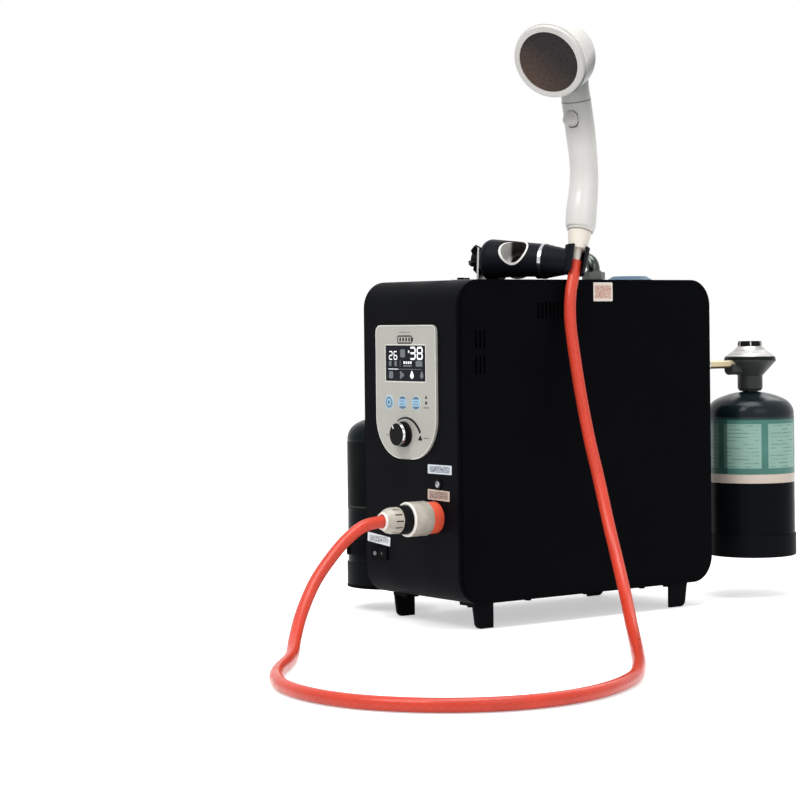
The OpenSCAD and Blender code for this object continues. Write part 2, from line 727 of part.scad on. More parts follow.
// Bent steel tab: a flange on the casing and an upright square to the holder's axis
tab_t = 2;
tab_w = 26;
tab_from = -140;                    // outer end of the tab's flange
module holder_tab() color("#c3c5c8") difference() {
    at_cup() rotate([90, 0, 0]) linear_extrude(tab_w, center = true) intersection() {
        union() {
            rotate(-holder_tilt) translate([body_from - hair - tab_t, -holder_d])
                square([tab_t, holder_d + tab_w / 2]);
            translate([tab_from, deck_z - cup_z]) square([body_from - tab_t / 2 - tab_from, tab_t]);
        }
        translate([tab_from, deck_z - cup_z]) square(-tab_from);
    }
    on_holder() translate([0, 0, body_from - 10]) cylinder(d = 2 * stud_r + 2 * fit, h = 20);
    tab_screws() cylinder(d = screw_d + fit, h = 20, center = true);
}

// The holder's body: a tapered round with a rounded clamp end
module holder_form() {
    f = holder_d / 4;
    r = holder_d / 2;
    l = body_to - body_from;
    rotate_extrude() {
        polygon([[0, f], [r, f], [swivel_d / 2, l], [0, l]]);
        square([r - f, f + eps]);
        intersection() {
            translate([r - f, f]) circle(f);
            square([r, f + eps]);
        }
    }
}

module on_bush() on_holder() translate([0, 0, bush_at]) rotate([0, -90, 0])
    rotate([90 - bush_lift, 0, 0]) children();

hollow_h = 3.8;                     // height of the hollow over the casing
module holder_body() color("#15171b") difference() {
    on_holder() translate([0, 0, body_from]) holder_form();
    on_bush() cylinder(d = bush_d + 2 * run, h = 80, center = true);
    // stud of the swivel and of the clamp knob
    on_holder() translate([0, 0, body_to - 10]) cylinder(r = swivel_stud_r + run, h = 20);
    on_holder() translate([0, 0, body_from - 1]) cylinder(r = stud_r + run, h = 15);
    // hollow under the middle
    at_cup() translate([body_from + 21, -holder_d, deck_z - cup_z - 3])
        cube([body_to - body_from - 27, 2 * holder_d, 3 + hollow_h]);
}

module holder_bush() color("#eceae6") intersection() {
    on_holder() translate([0, 0, bush_at - 30]) cylinder(r = swivel_d / 2 + 1.3, h = 60);
    on_bush() translate([0, 0, bush_back]) difference() {
        cylinder(d = bush_d, h = 40);
        translate([0, 0, -eps]) cylinder(d = 18, h = 60);
        translate([0, 0, 9]) cylinder(d = bush_d - 2 * bush_wall, h = 60);
    }
}

module holder_ring() color("#d9dadc") on_holder() translate([0, 0, body_to])
    tube(swivel_d / 2 + 0.4, swivel_stud_r + fit, 3.6);

module holder_cup() color("#15171b") difference() {
    union() {
        on_holder() translate([0, 0, body_to + 4]) cylinder(r1 = swivel_d / 2 - 0.3, r2 = 13, h = 26);
        on_holder() translate([0, 0, body_to - 9]) cylinder(r = swivel_stud_r, h = 14);
        on_cup() translate([0, 0, cup_top - cup_h]) cylinder(d1 = cup_d - 4.5, d2 = cup_d, h = cup_h);
    }
    // seat of the hose nut, open to one side for the hose
    on_cup() translate([0, 0, cup_top - cup_h - eps])
        cylinder(r1 = 7, r2 = nut_r(cup_top) + hair, h = cup_h + 2 * eps);
    on_cup() translate([0, 0, cup_top]) cylinder(r = cup_d, h = 20);
    on_cup() rotate(slot_turn) translate([0, -cup_slot / 2, -cup_h]) cube([30, cup_slot, 3 * cup_h]);
    on_cup() translate([0, 0, cup_top - cup_h - 30]) cylinder(r = hose_d / 2 + 0.6, h = 32);
}

// Four wings round a hub, with a stud through the tab
module holder_knob() color("#131416")
    on_holder() translate([0, 0, body_from - tab_t - 2 * hair - wing_h]) {
        cylinder(r = 8, h = wing_h);
        for (i = [0 : 3]) rotate(90 * i + 20) rotate([90, 0, 0]) linear_extrude(4.2, center = true)
            polygon([[5, 1], [11, -1.5], [16.5, 3.5], [13.5, wing_h - 0.2], [5, wing_h - 0.2]]);
        translate([0, 0, wing_h - eps]) cylinder(r = stud_r, h = 14);
    }

// Handset

// Radius of the hose nut's cone at a height on the cup's axis
function nut_r(t) = 9.6 + (t - nut_low) * (12.5 - 9.6) / (nut_top - nut_low);
module hose_nut() color("#e9e4d8") on_cup() {
    translate([0, 0, stub_low]) cylinder(r1 = 4.4, r2 = 5.4, h = nut_low - stub_low + eps);
    translate([0, 0, nut_low]) cylinder(r1 = nut_r(nut_low), r2 = nut_r(nut_top), h = nut_top - nut_low);
    translate([0, 0, nut_top - eps]) cylinder(r = nut_boss_r, h = 2);
}

module in_handset() at_cup() rotate([0, 0, -handset_turn]) children();

// Stations of the handle: back from the cup's middle, up, and radius
foot_of_handle = [cup_forward - (nut_top + 1.2) * sin(cup_tilt), (nut_top + 1.2) * cos(cup_tilt)];
handle_line = [
    [-foot_of_handle[0], foot_of_handle[1], 13.4],
    [9.1, 38, 15.9], [11.6, 54, 16.3], [16.4, 74.5, 15.5], [18.6, 94.6, 15],
    [16.4, 114.6, 15.1], [10, 141.7, 15.7], [2.2, 170, 15.5]];
neck_line = [[2.1, 170.4, 15.4], [-1.1, 182, 15.2], [-4, 195, 15.4], [-11, 208, 16], [-24, 217, 17]];

module handset_handle() color("#eeeef0") difference() {
    in_handset() limb(handle_line, 5, 32);
    on_cup() rotate(45) translate([0, 0, nut_top - 1]) cylinder(r = nut_boss_r + hair, h = 3.2);
    on_pause() translate([0, 0, -button_deep - pause_travel - 2 * fit])
        cylinder(d = pause_d - 3 + 2 * fit, h = 20);
    on_pause() translate([0, 0, button_lip - pause_travel - fit]) cylinder(d = pause_d + 2 * fit, h = 20);
}

// The pause button on the front of the handle below the neck, z out of its seat
button_lip = 2.9;                   // underside of the button's rim
button_deep = 3.6;                  // depth of its stem in the handle
pause_travel = 2.5;
module on_pause() in_handset() translate([0, 6.5 - 15.7, 149]) rotate([72, 0, 0]) children();
module handset_button() color("#d6d8da") on_pause() {
    translate([0, 0, -button_deep]) cylinder(d = pause_d - 3, h = button_deep + button_lip + eps);
    translate([0, 0, button_lip]) rotate_extrude() {
        square([pause_d / 2 - 1.5, 3]);
        square([pause_d / 2, 1.5]);
        translate([pause_d / 2 - 1.5, 1.5]) circle(1.5);
    }
}

face_t = 5;                         // thickness of the ring and the plate in front of the drum
plate_sunk = 1.4;                   // depth of the plate in its ring
head_edge = 1.6;                    // radius of the drum's front edge
head_crown = 11;                    // height of the drum's back
head_crown_r = 54;
module handset_head() color("#f0f0f2") {
    on_face() translate([0, 0, face_t]) rotate_extrude() {
        f = 7;
        r = head_d / 2;
        l = head_l - face_t;
        translate([0, head_edge]) square([r, l - f - head_edge]);
        square([r - head_edge, l - f]);
        translate([r - head_edge, head_edge]) circle(head_edge);
        square([r - f, l]);
        translate([r - f, l - f]) circle(f);
        intersection() {
            translate([0, l + head_crown - head_crown_r]) circle(head_crown_r);
            translate([0, l - 1]) square([r, 2 * head_crown]);
        }
    }
    in_handset() limb(neck_line, 4, 32);
}

module handset_ring() color("#e4e3e1") on_face() difference() {
    rotate_extrude() {
        translate([0, 1.5]) square([face_d / 2, face_t - 1.5]);
        square([face_d / 2 - 1.5, face_t - 2]);
        translate([face_d / 2 - 1.5, 1.5]) circle(1.5);
    }
    translate([0, 0, -eps]) cylinder(d = spray_d + fit, h = 2 * face_t);
}

module spray_plate() color("#3a3634") on_face() translate([0, 0, plate_sunk]) {
    cylinder(d = spray_d, h = face_t - plate_sunk);
    for (ring = [1 : 4], i = [0 : 6 * ring - 1]) rotate(360 * i / (6 * ring))
        translate([spray_d * ring / 9.4, 0, -0.5]) cylinder(d = 1.6, h = 0.6, $fn = 8);
}

// Inlet and exhaust on the top

bend_r = 13;                        // radius of the elbow's bend
stem_h = 11;                        // height of the bend's start above the deck
washer_t = 1.2;
spigot_l = 16;                      // length of the threaded end
module inlet_elbow() color("#c5c7ca") at_case() translate([inlet_x, inlet_y, deck_z]) {
    cylinder(d = water_d + 8, h = washer_t);
    translate([0, 0, washer_t - eps]) cylinder(d = water_d, h = stem_h - washer_t + 2 * eps);
    translate([-bend_r, 0, stem_h]) rotate([90, 0, 0])
        rotate_extrude(angle = 90) translate([bend_r, 0]) circle(d = water_d);
    translate([-bend_r + eps, 0, stem_h + bend_r]) rotate([0, -90, 0]) difference() {
        union() {
            cylinder(d = water_d, h = 5);
            translate([0, 0, 3]) cylinder(d = inlet_d, h = spigot_l);
        }
        translate([0, 0, 3]) cylinder(d = water_d - 3, h = spigot_l + 1);
    }
}

module inlet_nut() color("#b9bbbe") at_case() translate([inlet_x, inlet_y, deck_z + washer_t]) difference() {
    union() {
        hexagon(inlet_nut_af, stem_h - washer_t - 2);
        cylinder(d = water_d + 3, h = stem_h - washer_t - 0.4);
    }
    translate([0, 0, -eps]) cylinder(d = water_d + hair, h = stem_h);
}

module exhaust_cap() color("#67849a") at_case() translate([exhaust_x, exhaust_y, deck_z]) difference() {
    union() {
        cylinder(d = cap_d, h = 1.5);
        translate([0, 0, 1.5 - eps]) cylinder(d1 = cap_d, d2 = cap_d - 14, h = 4.2);
    }
    // spill slots round a solid middle
    for (i = [0 : 11]) rotate(30 * i) translate([9, -1.5, 2]) cube([7, 3, 10]);
    translate([0, 0, -eps]) cylinder(d = duct_d - 4, h = 2.5);
}

module exhaust_duct() color("#9a9c9e") at_case()
    translate([exhaust_x, exhaust_y, exch_z + exch_h + hood_h - 10])
        tube(duct_d / 2, duct_d / 2 - 1.2, deck_z - exch_z - exch_h - hood_h + 10);

// Gas side

// Form of a gas cylinder from its bottom to the top of its dome, drawn in by a distance
module cylinder_form(inset = 0) {
    a = gas_d / 2 - knuckle_r;
    crown = (a * a + dome_h * dome_h - knuckle_r * knuckle_r) / (2 * (dome_h - knuckle_r));
    top = gas_foot_h + gas_h;
    shoulder = top - dome_h;
    lean = atan2(a, shoulder - top + crown);
    r = gas_d / 2 - inset;
    rotate_extrude($fn = 96) {
        translate([0, base_r]) square([r, shoulder - base_r]);
        translate([0, inset]) square([gas_d / 2 - base_r, base_r]);
        intersection() {
            translate([gas_d / 2 - base_r, base_r]) circle(base_r - inset);
            square([r, base_r + eps]);
        }
        intersection() {
            translate([a, shoulder]) circle(knuckle_r - inset);
            square([r, 2 * top]);
        }
        intersection() {
            translate([0, top - crown]) circle(crown - inset, $fn = 180);
            polygon([[0, top - crown], [0, top + crown],
                [2 * crown * sin(lean), top - crown + 2 * crown * cos(lean)]]);
        }
    }
}

// Steel shell of a gas cylinder with the valve's collar on top
module cylinder_body() difference() {
    union() {
        cylinder_form();
        translate([0, 0, gas_foot_h + gas_h - 1.5]) cylinder(r = 9, h = 5);
    }
    cylinder_form(gas_wall);
    translate([0, 0, gas_foot_h + gas_h - 5]) cylinder(r = 4, h = 20);
}

module cylinder_foot() difference() {
    rotate_extrude($fn = 96) {
        translate([0, 2]) square([gas_d / 2 + 1.2, gas_foot_h - 2]);
        square([gas_d / 2 - 0.8, 3]);
        translate([gas_d / 2 - 0.8, 2]) circle(2);
    }
    translate([0, 0, 2]) cylinder(r = gas_d / 2 + hair, h = 40, $fn = 96);
    translate([0, 0, -eps]) cylinder(r = gas_d / 2 - 12, h = 10);
}

module at_gas() at_case() translate([gas_x, gas_y, gas_bottom]) children();
module at_spare() at_case() translate([spare_x, spare_y, floor_z]) children();

module gas_cylinder() color("#152126") at_gas() translate([0, 0, 2 + hair]) cylinder_body();
module gas_cylinder_foot() color("#17191b") at_gas() cylinder_foot();
module spare_cylinder() color("#152126") at_spare() translate([0, 0, 2 + hair]) cylinder_body();
module spare_cylinder_foot() color("#17191b") at_spare() cylinder_foot();

module spare_valve_cap() color("#1d1f22") at_spare()
    translate([0, 0, gas_foot_h + gas_h + 2 + hair]) difference() {
        union() {
            cylinder(r = 17, h = 16);
            translate([0, 0, 16 - eps]) cylinder(r1 = 17, r2 = 14.5, h = 2.5);
        }
        translate([0, 0, -eps]) cylinder(r = 9 + hair, h = 6);
        for (i = [0 : 17]) rotate(20 * i) translate([17.5, 0, -eps]) cylinder(d = 2.2, h = 13, $fn = 16);
    }

neck_z = gas_top + 2 + hair + 3.5;  // top of the rear cylinder's collar
flare_z = pipe_z + pipe_d / 2 - 1;

module regulator_body() color("#2a2c2f") difference() {
    union() {
        at_case() translate([gas_x, gas_y, 0]) {
            translate([0, 0, neck_z - 3]) cylinder(r1 = 12, r2 = 14.2, h = 3);
            translate([0, 0, neck_z]) cylinder(r = 14.2, h = flare_z - 17 - neck_z + eps);
            translate([0, 0, flare_z - 17]) cylinder(r1 = 14.2, r2 = 29.5, h = 17);
            translate([0, 0, flare_z - eps]) cylinder(r = 29.5, h = 1.2);
        }
        // side inlet boss towards the casing
        at_case() translate([gas_x, gas_y - 34, pipe_z - 5]) rotate([-90, 0, 0]) cylinder(d = 14, h = 20);
    }
    at_case() translate([gas_x, gas_y, neck_z - 5]) cylinder(r = 9 + hair, h = 5.2);
    at_case() translate([gas_x, gas_y - 40, pipe_z]) rotate([-90, 0, 0]) cylinder(d = pipe_d + hair, h = 18);
}

module regulator_cap() color("#cfd1d3") at_case() translate([gas_x, gas_y, flare_z + 1.2]) {
    rotate_extrude() {
        polygon([[0, 0], [29.5, 0], [28.6, 3.2], [23, 7.6], [17.5, 11.5], [14, 15.6], [0, 15.6]]);
    }
    translate([0, 0, 15.5]) rotate_extrude() {
        square([13, 6]);
        translate([0, 1]) square([13.6, 3]);
    }
}

module gas_pipe() color("#b99a52") at_case() translate([gas_x, 0, pipe_z]) rotate([-90, 0, 0]) {
    translate([0, 0, valve_y[1]]) cylinder(d = pipe_d, h = gas_y - valve_y[1] - 22.5);
    translate([0, 0, rear_y]) cylinder(d = 15, h = 1.5);
    translate([0, 0, rear_y + 1.5]) hexagon(13, 7);
}

// Wire bail under the pipe, held by a ring round it
wire_r = 0.8;
bail_r = 3.3;
bail_l = 13;
module pipe_clip() color("#9fa3a6") at_case() translate([gas_x, rear_y + 34, pipe_z]) {
    upper = pipe_d / 2 + 1.2;       // of the upper wire from the pipe's middle
    rotate([90, 0, 0]) translate([0, 0, -1.5]) tube(upper + 0.6, pipe_d / 2 + hair, 3);
    translate([0, -bail_l, -upper - bail_r]) mirror([0, 1, 0]) rotate([0, 90, 0])
        rotate_extrude(angle = 180, $fn = 48) translate([bail_r, 0]) circle(wire_r, $fn = 16);
    translate([0, -bail_l - eps, -upper]) rotate([-90, 0, 0])
        cylinder(r = wire_r, h = bail_l + 1.5, $fn = 16);
    translate([0, -bail_l - eps, -upper - 2 * bail_r]) rotate([-90, 0, 0])
        cylinder(r = wire_r, h = bail_l - 4, $fn = 16);
}

tray_t = 2;
module cylinder_tray() color("#191a1d") difference() {
    at_case() translate([0, 0, floor_z - tray_t]) {
        translate([spare_x, spare_y, 0]) cylinder(r = gas_d / 2 + 1.5, h = tray_t, $fn = 96);
        translate([spare_x, spare_y - 21, 0]) cube([-case_w / 2 - spare_x + 38, 42, tray_t]);
    }
    panel_screws() cylinder(d = 1.75 * screw_d + 1, h = 20, center = true);
    tray_screws() cylinder(d = screw_d + fit, h = 20, center = true);
}

// Spring clip round the spare cylinder, riveted to the side panel
clip_t = 2.2;
clip_h = 16;
clip_reach = 105;                   // how far the clip reaches round to either side
clip_bead = 2;                      // radius of its rolled ends
clip_lug = 24;                      // width of the lug on the panel
module cylinder_clip() color("#141518") at_spare() translate([0, 0, gas_foot_h + 9]) {
    r = gas_d / 2 + 2 * hair;
    rotate(-clip_reach) rotate_extrude(angle = 2 * clip_reach, $fn = 96)
        translate([r, 0]) square([clip_t, clip_h]);
    translate([r + clip_t / 2, -clip_lug / 2, clip_t])
        cube([spare_gap - 2 * hair - clip_t / 2, clip_lug, clip_h - 2 * clip_t]);
    for (s = [-1, 1]) rotate(s * clip_reach) translate([r + clip_t + clip_bead / 3, 0, 0])
        cylinder(r = clip_bead, h = clip_h);
}

// Inside the casing

axle_d = 5;                         // of the fan wheel
module fan_housing() color("#5f6468") at_case() translate([fan_x, fan_y, 0]) difference() {
    union() {
        translate([0, 0, fan_z]) cylinder(d = fan_d, h = fan_h);
        for (i = [0 : 3]) rotate(90 * i + 45) translate([fan_d / 2 - 8, 0, inner_z])
            cylinder(d = 8, h = fan_z - inner_z + eps);
    }
    translate([0, 0, fan_z + 3]) cylinder(d = fan_d - 4, h = fan_h - 5);
    translate([0, 0, fan_z - eps]) difference() {
        cylinder(d = fan_d - 34, h = 4);
        for (i = [0 : 2]) rotate(60 * i) translate([-fan_d / 2, -3, -1]) cube([fan_d, 6, 8]);
        cylinder(d = 24, h = 4);
    }
    translate([0, 0, fan_z + fan_h - 3]) cylinder(d = 60, h = 4);
    translate([0, 0, fan_z - 1]) cylinder(d = axle_d + 2 * run, h = 8);
}

hub_d = 26;
hub_h = 12;
blade_l = 16;
blade_h = 22;
blade_t = 1.8;
module fan_wheel() color("#24262a") at_case() translate([fan_x, fan_y, fan_z + 4]) {
    cylinder(d = fan_d - 14, h = 1.6);
    cylinder(d = hub_d, h = hub_h);
    translate([0, 0, -3.6]) cylinder(d = axle_d, h = 4);
    for (i = [0 : 17]) rotate(20 * i) translate([fan_d / 2 - blade_l - 8, 0, 1.5]) rotate(35)
        translate([0, -blade_t / 2, 0]) cube([blade_l, blade_t, blade_h]);
}

bar_w = 12;                         // of a burner bar
bar_step = 20;
bar_h = burner_h - 6;
port_step = 11;                     // from one flame port to the next
module burner() color("#8a8d90") at_case() translate([fan_x, exch_y, burner_z - 2]) {
    bar_l = exch_l - bar_step;
    translate([0, 0, 1]) cube([exch_w - 6, exch_l - 6, 2], center = true);
    difference() {
        for (x = [-2 : 2]) translate([bar_step * x - bar_w / 2, -bar_l / 2, 2 - eps])
            cube([bar_w, bar_l, bar_h]);
        for (x = [-2 : 2], y = [-4 : 4]) translate([bar_step * x, port_step * y, bar_h - 2])
            cube([bar_w / 4, port_step - 4, bar_w], center = true);
    }
    translate([exch_w / 2 - 16, -bar_l / 2 + 10, 2 - eps]) cylinder(d = 5, h = bar_h + 4);
}

exch_t = 1.5;                       // thickness of the exchanger's walls
fin_t = 1;
fin_h = 40;
fin_z = 40;                         // lower edge of the fins
tube_d = 11;                        // of the tubes through the fins
tube_step = 22;
module heat_exchanger() color("#b06a3c") at_case() translate([0, exch_y, exch_z]) {
    difference() {
        translate([-exch_w / 2, -exch_l / 2, -burner_h]) cube([exch_w, exch_l, exch_h + burner_h]);
        translate([-exch_w / 2 + exch_t, -exch_l / 2 + exch_t, -burner_h - eps])
            cube([exch_w - 2 * exch_t, exch_l - 2 * exch_t, exch_h + burner_h + 1]);
    }
    // fins and the tubes through them
    for (i = [0 : fin_count - 1])
        translate([-exch_w / 2 + exch_w * (i + 0.5) / fin_count - fin_t / 2, -exch_l / 2 + 1, fin_z])
            cube([fin_t, exch_l - 2, fin_h]);
    for (k = [-2 : 2]) translate([-exch_w / 2, tube_step * k, fin_z + fin_h / 2]) rotate([0, 90, 0])
        cylinder(d = tube_d, h = exch_w, $fn = 32);
    // hood
    difference() {
        hull() {
            translate([-exch_w / 2, -exch_l / 2, exch_h - eps]) cube([exch_w, exch_l, 1]);
            translate([exhaust_x, exhaust_y - exch_y, exch_h + hood_h - 1])
                cylinder(d = duct_d + 4, h = 1, $fn = 32);
        }
        hull() {
            translate([-exch_w / 2 + exch_t, -exch_l / 2 + exch_t, exch_h - 1])
                cube([exch_w - 2 * exch_t, exch_l - 2 * exch_t, 1]);
            translate([exhaust_x, exhaust_y - exch_y, exch_h + hood_h - 2.4])
                cylinder(d = duct_d - 2, h = 1, $fn = 32);
        }
        translate([exhaust_x, exhaust_y - exch_y, exch_h]) cylinder(d = duct_d + 2 * hair, h = 60);
    }
}

// Tube from the valve down to the burner
gas_line_d = 8;
gas_bend = 6;
gas_line_x = exch_w / 2 + 10;
gas_line_z = burner_z + 2;
module gas_valve() color("#a58848") at_case() difference() {
    translate([gas_x - 14, valve_y[0], pipe_z - 16]) cube([34, valve_y[1] - valve_y[0], 32]);
    translate([gas_x, valve_y[1] - 10, pipe_z]) rotate([-90, 0, 0]) cylinder(d = 6, h = 30);
}

module gas_tube() color("#c07a45") at_case() {
    x1 = gas_x + 20;
    x2 = gas_line_x - gas_bend;
    translate([x1, gas_line_y, pipe_z]) rotate([0, 90, 0]) cylinder(d = gas_line_d, h = x2 - x1 + eps);
    translate([x2, gas_line_y, pipe_z - gas_bend]) rotate([90, 0, 0])
        rotate_extrude(angle = 90) translate([gas_bend, 0]) circle(d = gas_line_d);
    translate([gas_line_x, gas_line_y, gas_line_z + gas_bend])
        cylinder(d = gas_line_d, h = pipe_z - gas_line_z - 2 * gas_bend + eps);
    translate([x2, gas_line_y, gas_line_z + gas_bend]) rotate([90, 90, 0])
        rotate_extrude(angle = 90) translate([gas_bend, 0]) circle(d = gas_line_d);
    translate([exch_w / 2, gas_line_y, gas_line_z]) rotate([0, 90, 0])
        cylinder(d = gas_line_d, h = x2 - exch_w / 2 + eps);
}

module inlet_pipe() color("#b06a3c") at_case() translate([inlet_x, inlet_y, exch_z + exch_h + 12])
    cylinder(d = water_d, h = deck_z - exch_z - exch_h - 12);

module outlet_pipe() color("#b06a3c") at_case() translate([outlet_x, 0, outlet_z]) rotate([90, 0, 0])
    translate([0, 0, exch_l / 2 - exch_y]) cylinder(d = water_d, h = case_l / 2 - 18 - exch_l / 2 + exch_y);

cell_d = 19.6;
cell_h = 66;
cell_step = 20;
tray_h = 3;                         // thickness of the holders over and under the cells
module battery_pack() color("#2f5f9a") at_case() translate([0, battery_y, inner_z]) {
    translate([-1.7 * cell_step, -1.2 * cell_step, 0]) cube([3.4 * cell_step, 2.4 * cell_step, tray_h]);
    for (x = [-1, 0, 1], y = [-0.5, 0.5]) translate([cell_step * x, cell_step * y, tray_h - eps])
        cylinder(d = cell_d, h = cell_h);
    translate([-1.5 * cell_step, -cell_step, tray_h + cell_h - 2 * eps])
        cube([3 * cell_step, 2 * cell_step, tray_h]);
}

casing_wrap();
side_panel(1);  // side_panel_right
side_panel(-1);  // side_panel_left
feet();
screws();
control_plate();
display();
button_1();
button_2();
button_3();
knob();
knob_ring();
knob_shaft();
potentiometer();
control_board();
switch_frame();
rocker();
dc_socket();
outlet_fitting();
connector_collar();
connector_body();
connector_ring();
connector_nut();
hose();
holder_tab();
holder_body();
holder_bush();
holder_ring();
holder_cup();
holder_knob();
hose_nut();
handset_handle();
handset_button();
handset_head();
handset_ring();
spray_plate();
inlet_elbow();
inlet_nut();
exhaust_cap();
exhaust_duct();
regulator_body();
regulator_cap();
gas_pipe();
pipe_clip();
gas_cylinder();
gas_cylinder_foot();
spare_cylinder();
spare_cylinder_foot();
spare_valve_cap();
cylinder_tray();
cylinder_clip();
burner();
heat_exchanger();
fan_housing();
fan_wheel();
gas_valve();
gas_tube();
inlet_pipe();
outlet_pipe();
battery_pack();
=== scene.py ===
"""Portable heated shower: its hose, labels, display, handset and finishes, with a floor, lamps and a camera.

Every piece is made in metres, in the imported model's own frame, on the nodes that carry it.
Places on the casing are measured from the casing's middle, as in the model's source.
"""

import math

import bpy
import numpy as np
from bpy.props import FloatProperty, FloatVectorProperty, IntProperty, PointerProperty
from mathutils import Matrix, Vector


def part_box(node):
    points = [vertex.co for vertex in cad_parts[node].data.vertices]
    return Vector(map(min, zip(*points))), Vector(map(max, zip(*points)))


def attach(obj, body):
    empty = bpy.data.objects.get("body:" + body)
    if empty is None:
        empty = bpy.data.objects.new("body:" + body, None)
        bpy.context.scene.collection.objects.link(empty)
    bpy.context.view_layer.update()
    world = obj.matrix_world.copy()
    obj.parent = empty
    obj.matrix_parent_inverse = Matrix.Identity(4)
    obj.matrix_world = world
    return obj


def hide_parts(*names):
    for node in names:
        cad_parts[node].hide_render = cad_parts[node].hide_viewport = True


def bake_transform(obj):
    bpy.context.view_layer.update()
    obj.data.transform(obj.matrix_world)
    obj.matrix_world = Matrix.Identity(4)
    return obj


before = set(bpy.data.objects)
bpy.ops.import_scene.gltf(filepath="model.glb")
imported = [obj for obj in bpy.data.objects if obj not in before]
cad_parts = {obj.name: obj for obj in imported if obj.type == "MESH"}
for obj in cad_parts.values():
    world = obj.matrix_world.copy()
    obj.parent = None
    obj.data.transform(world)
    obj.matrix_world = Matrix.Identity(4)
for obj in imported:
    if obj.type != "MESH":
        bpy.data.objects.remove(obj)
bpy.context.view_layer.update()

bl_info = {
    "name": "Portable Heated Shower",
    "version": (1, 0, 0),
    "blender": (4, 5, 0),
    "location": "View3D > Sidebar > Shower",
    "description": "Dresses a packed portable heated shower with its hose, labels, display and finishes",
    "category": "Object",
}

BODY = "heater_body"
CUP_BODY = "cup_body"


def corner_of(node):
    """Lowest and highest corners of a CAD node's box at rest."""
    low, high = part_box(node)
    return np.array(low), np.array(high)


def middle_of(node):
    """Middle of a CAD node's box at rest."""
    low, high = corner_of(node)
    return (low + high) / 2


# The casing's middle on the ground, from which every place below is measured
CASE = middle_of("casing_wrap") * (1, 1, 0)
FRONT_Y = corner_of("casing_wrap")[0][1]
SIDE_X = corner_of("side_panel_right")[1][0]
PLATE_Y = corner_of("control_plate")[0][1]


def at_case(x, y, z):
    """A point given in millimetres from the casing's middle on the ground."""
    return CASE + np.array((x, y, z), float) / 1000


# Surfaces

def weave_faces(rows, columns, closed=True):
    """Quads between neighbouring rows of a grid; with closed, the last column joins the first."""
    i = np.arange(rows - 1)[:, None]
    j = np.arange(columns if closed else columns - 1)[None, :]
    k = (j + 1) % columns
    a, b = i * columns + j, i * columns + k
    return np.stack([a, b, b + columns, a + columns], -1).reshape(-1, 4)


def capped_faces(rows, columns):
    """Quads of a closed grid, with one face over its first row and one over its last."""
    last = (rows - 1) * columns
    ends = [list(range(columns))[::-1], list(range(last, last + columns))]
    return weave_faces(rows, columns).tolist() + ends


def make_piece(name, points, faces, material, smooth=True, uv=None, sharp=None):
    """A mesh object at the origin from an array of points and lists of faces."""
    mesh = bpy.data.meshes.new(name)
    points = np.asarray(points, float).reshape(-1, 3)
    mesh.from_pydata(points.tolist(), [], [list(map(int, f)) for f in faces])
    mesh.validate()
    mesh.polygons.foreach_set("use_smooth", np.full(len(mesh.polygons), smooth))
    if uv is not None:
        layer = mesh.uv_layers.new(name="surface")
        index = np.zeros(len(mesh.loops), int)
        mesh.loops.foreach_get("vertex_index", index)
        layer.data.foreach_set("uv", np.asarray(uv, np.float32)[index].ravel())
    if sharp is not None:
        mesh.set_sharp_from_angle(angle=math.radians(sharp))
    mesh.materials.append(material)
    obj = bpy.data.objects.new(name, mesh)
    bpy.context.scene.collection.objects.link(obj)
    return obj


def smooth_path(points, steps):
    """Catmull-Rom curve through the points: each stretch is a cubic of its share t, in so many steps."""
    p = np.asarray(points, float)
    a = np.vstack([p[:1], p[:-2]])
    b, c = p[:-1], p[1:]
    d = np.vstack([p[2:], p[-1:]])
    t = (np.arange(steps) / steps)[None, :, None]
    a, b, c, d = (q[:, None, :] for q in (a, b, c, d))
    curve = 0.5 * (2 * b + t * (c - a) + t ** 2 * (2 * a - 5 * b + 4 * c - d)
                   + t ** 3 * (3 * b - a - 3 * c + d))
    return np.vstack([curve.reshape(-1, p.shape[1]), p[-1:]])


def ring_frames(path, first_side):
    """Side and up vectors at each point of a path, each turned as little as can be from the one before."""
    along = np.gradient(path, axis=0)
    along /= np.linalg.norm(along, axis=1)[:, None]
    side = np.zeros_like(path)
    current = np.asarray(first_side, float)
    for i, d in enumerate(along):
        current = current - current.dot(d) * d
        current /= np.linalg.norm(current)
        side[i] = current
    return side, np.cross(along, side)


def tube_surface(path, radii, sides, first_side=(1, 0, 0)):
    """A tube: circles of the given radii square to the path, joined ring to ring and closed at both ends."""
    path = np.asarray(path, float)
    side, up = ring_frames(path, first_side)
    turn = 2 * np.pi * np.arange(sides) / sides
    r = np.broadcast_to(radii, len(path))[:, None, None]
    across, upward = np.cos(turn)[None, :, None], np.sin(turn)[None, :, None]
    rings = path[:, None] + r * (across * side[:, None] + upward * up[:, None])
    length = np.concatenate([[0], np.cumsum(np.linalg.norm(np.diff(path, axis=0), axis=1))])
    uv = np.stack(np.broadcast_arrays(np.arange(sides)[None, :] / sides, length[:, None]), -1).reshape(-1, 2)
    return rings.reshape(-1, 3), capped_faces(len(path), sides), uv


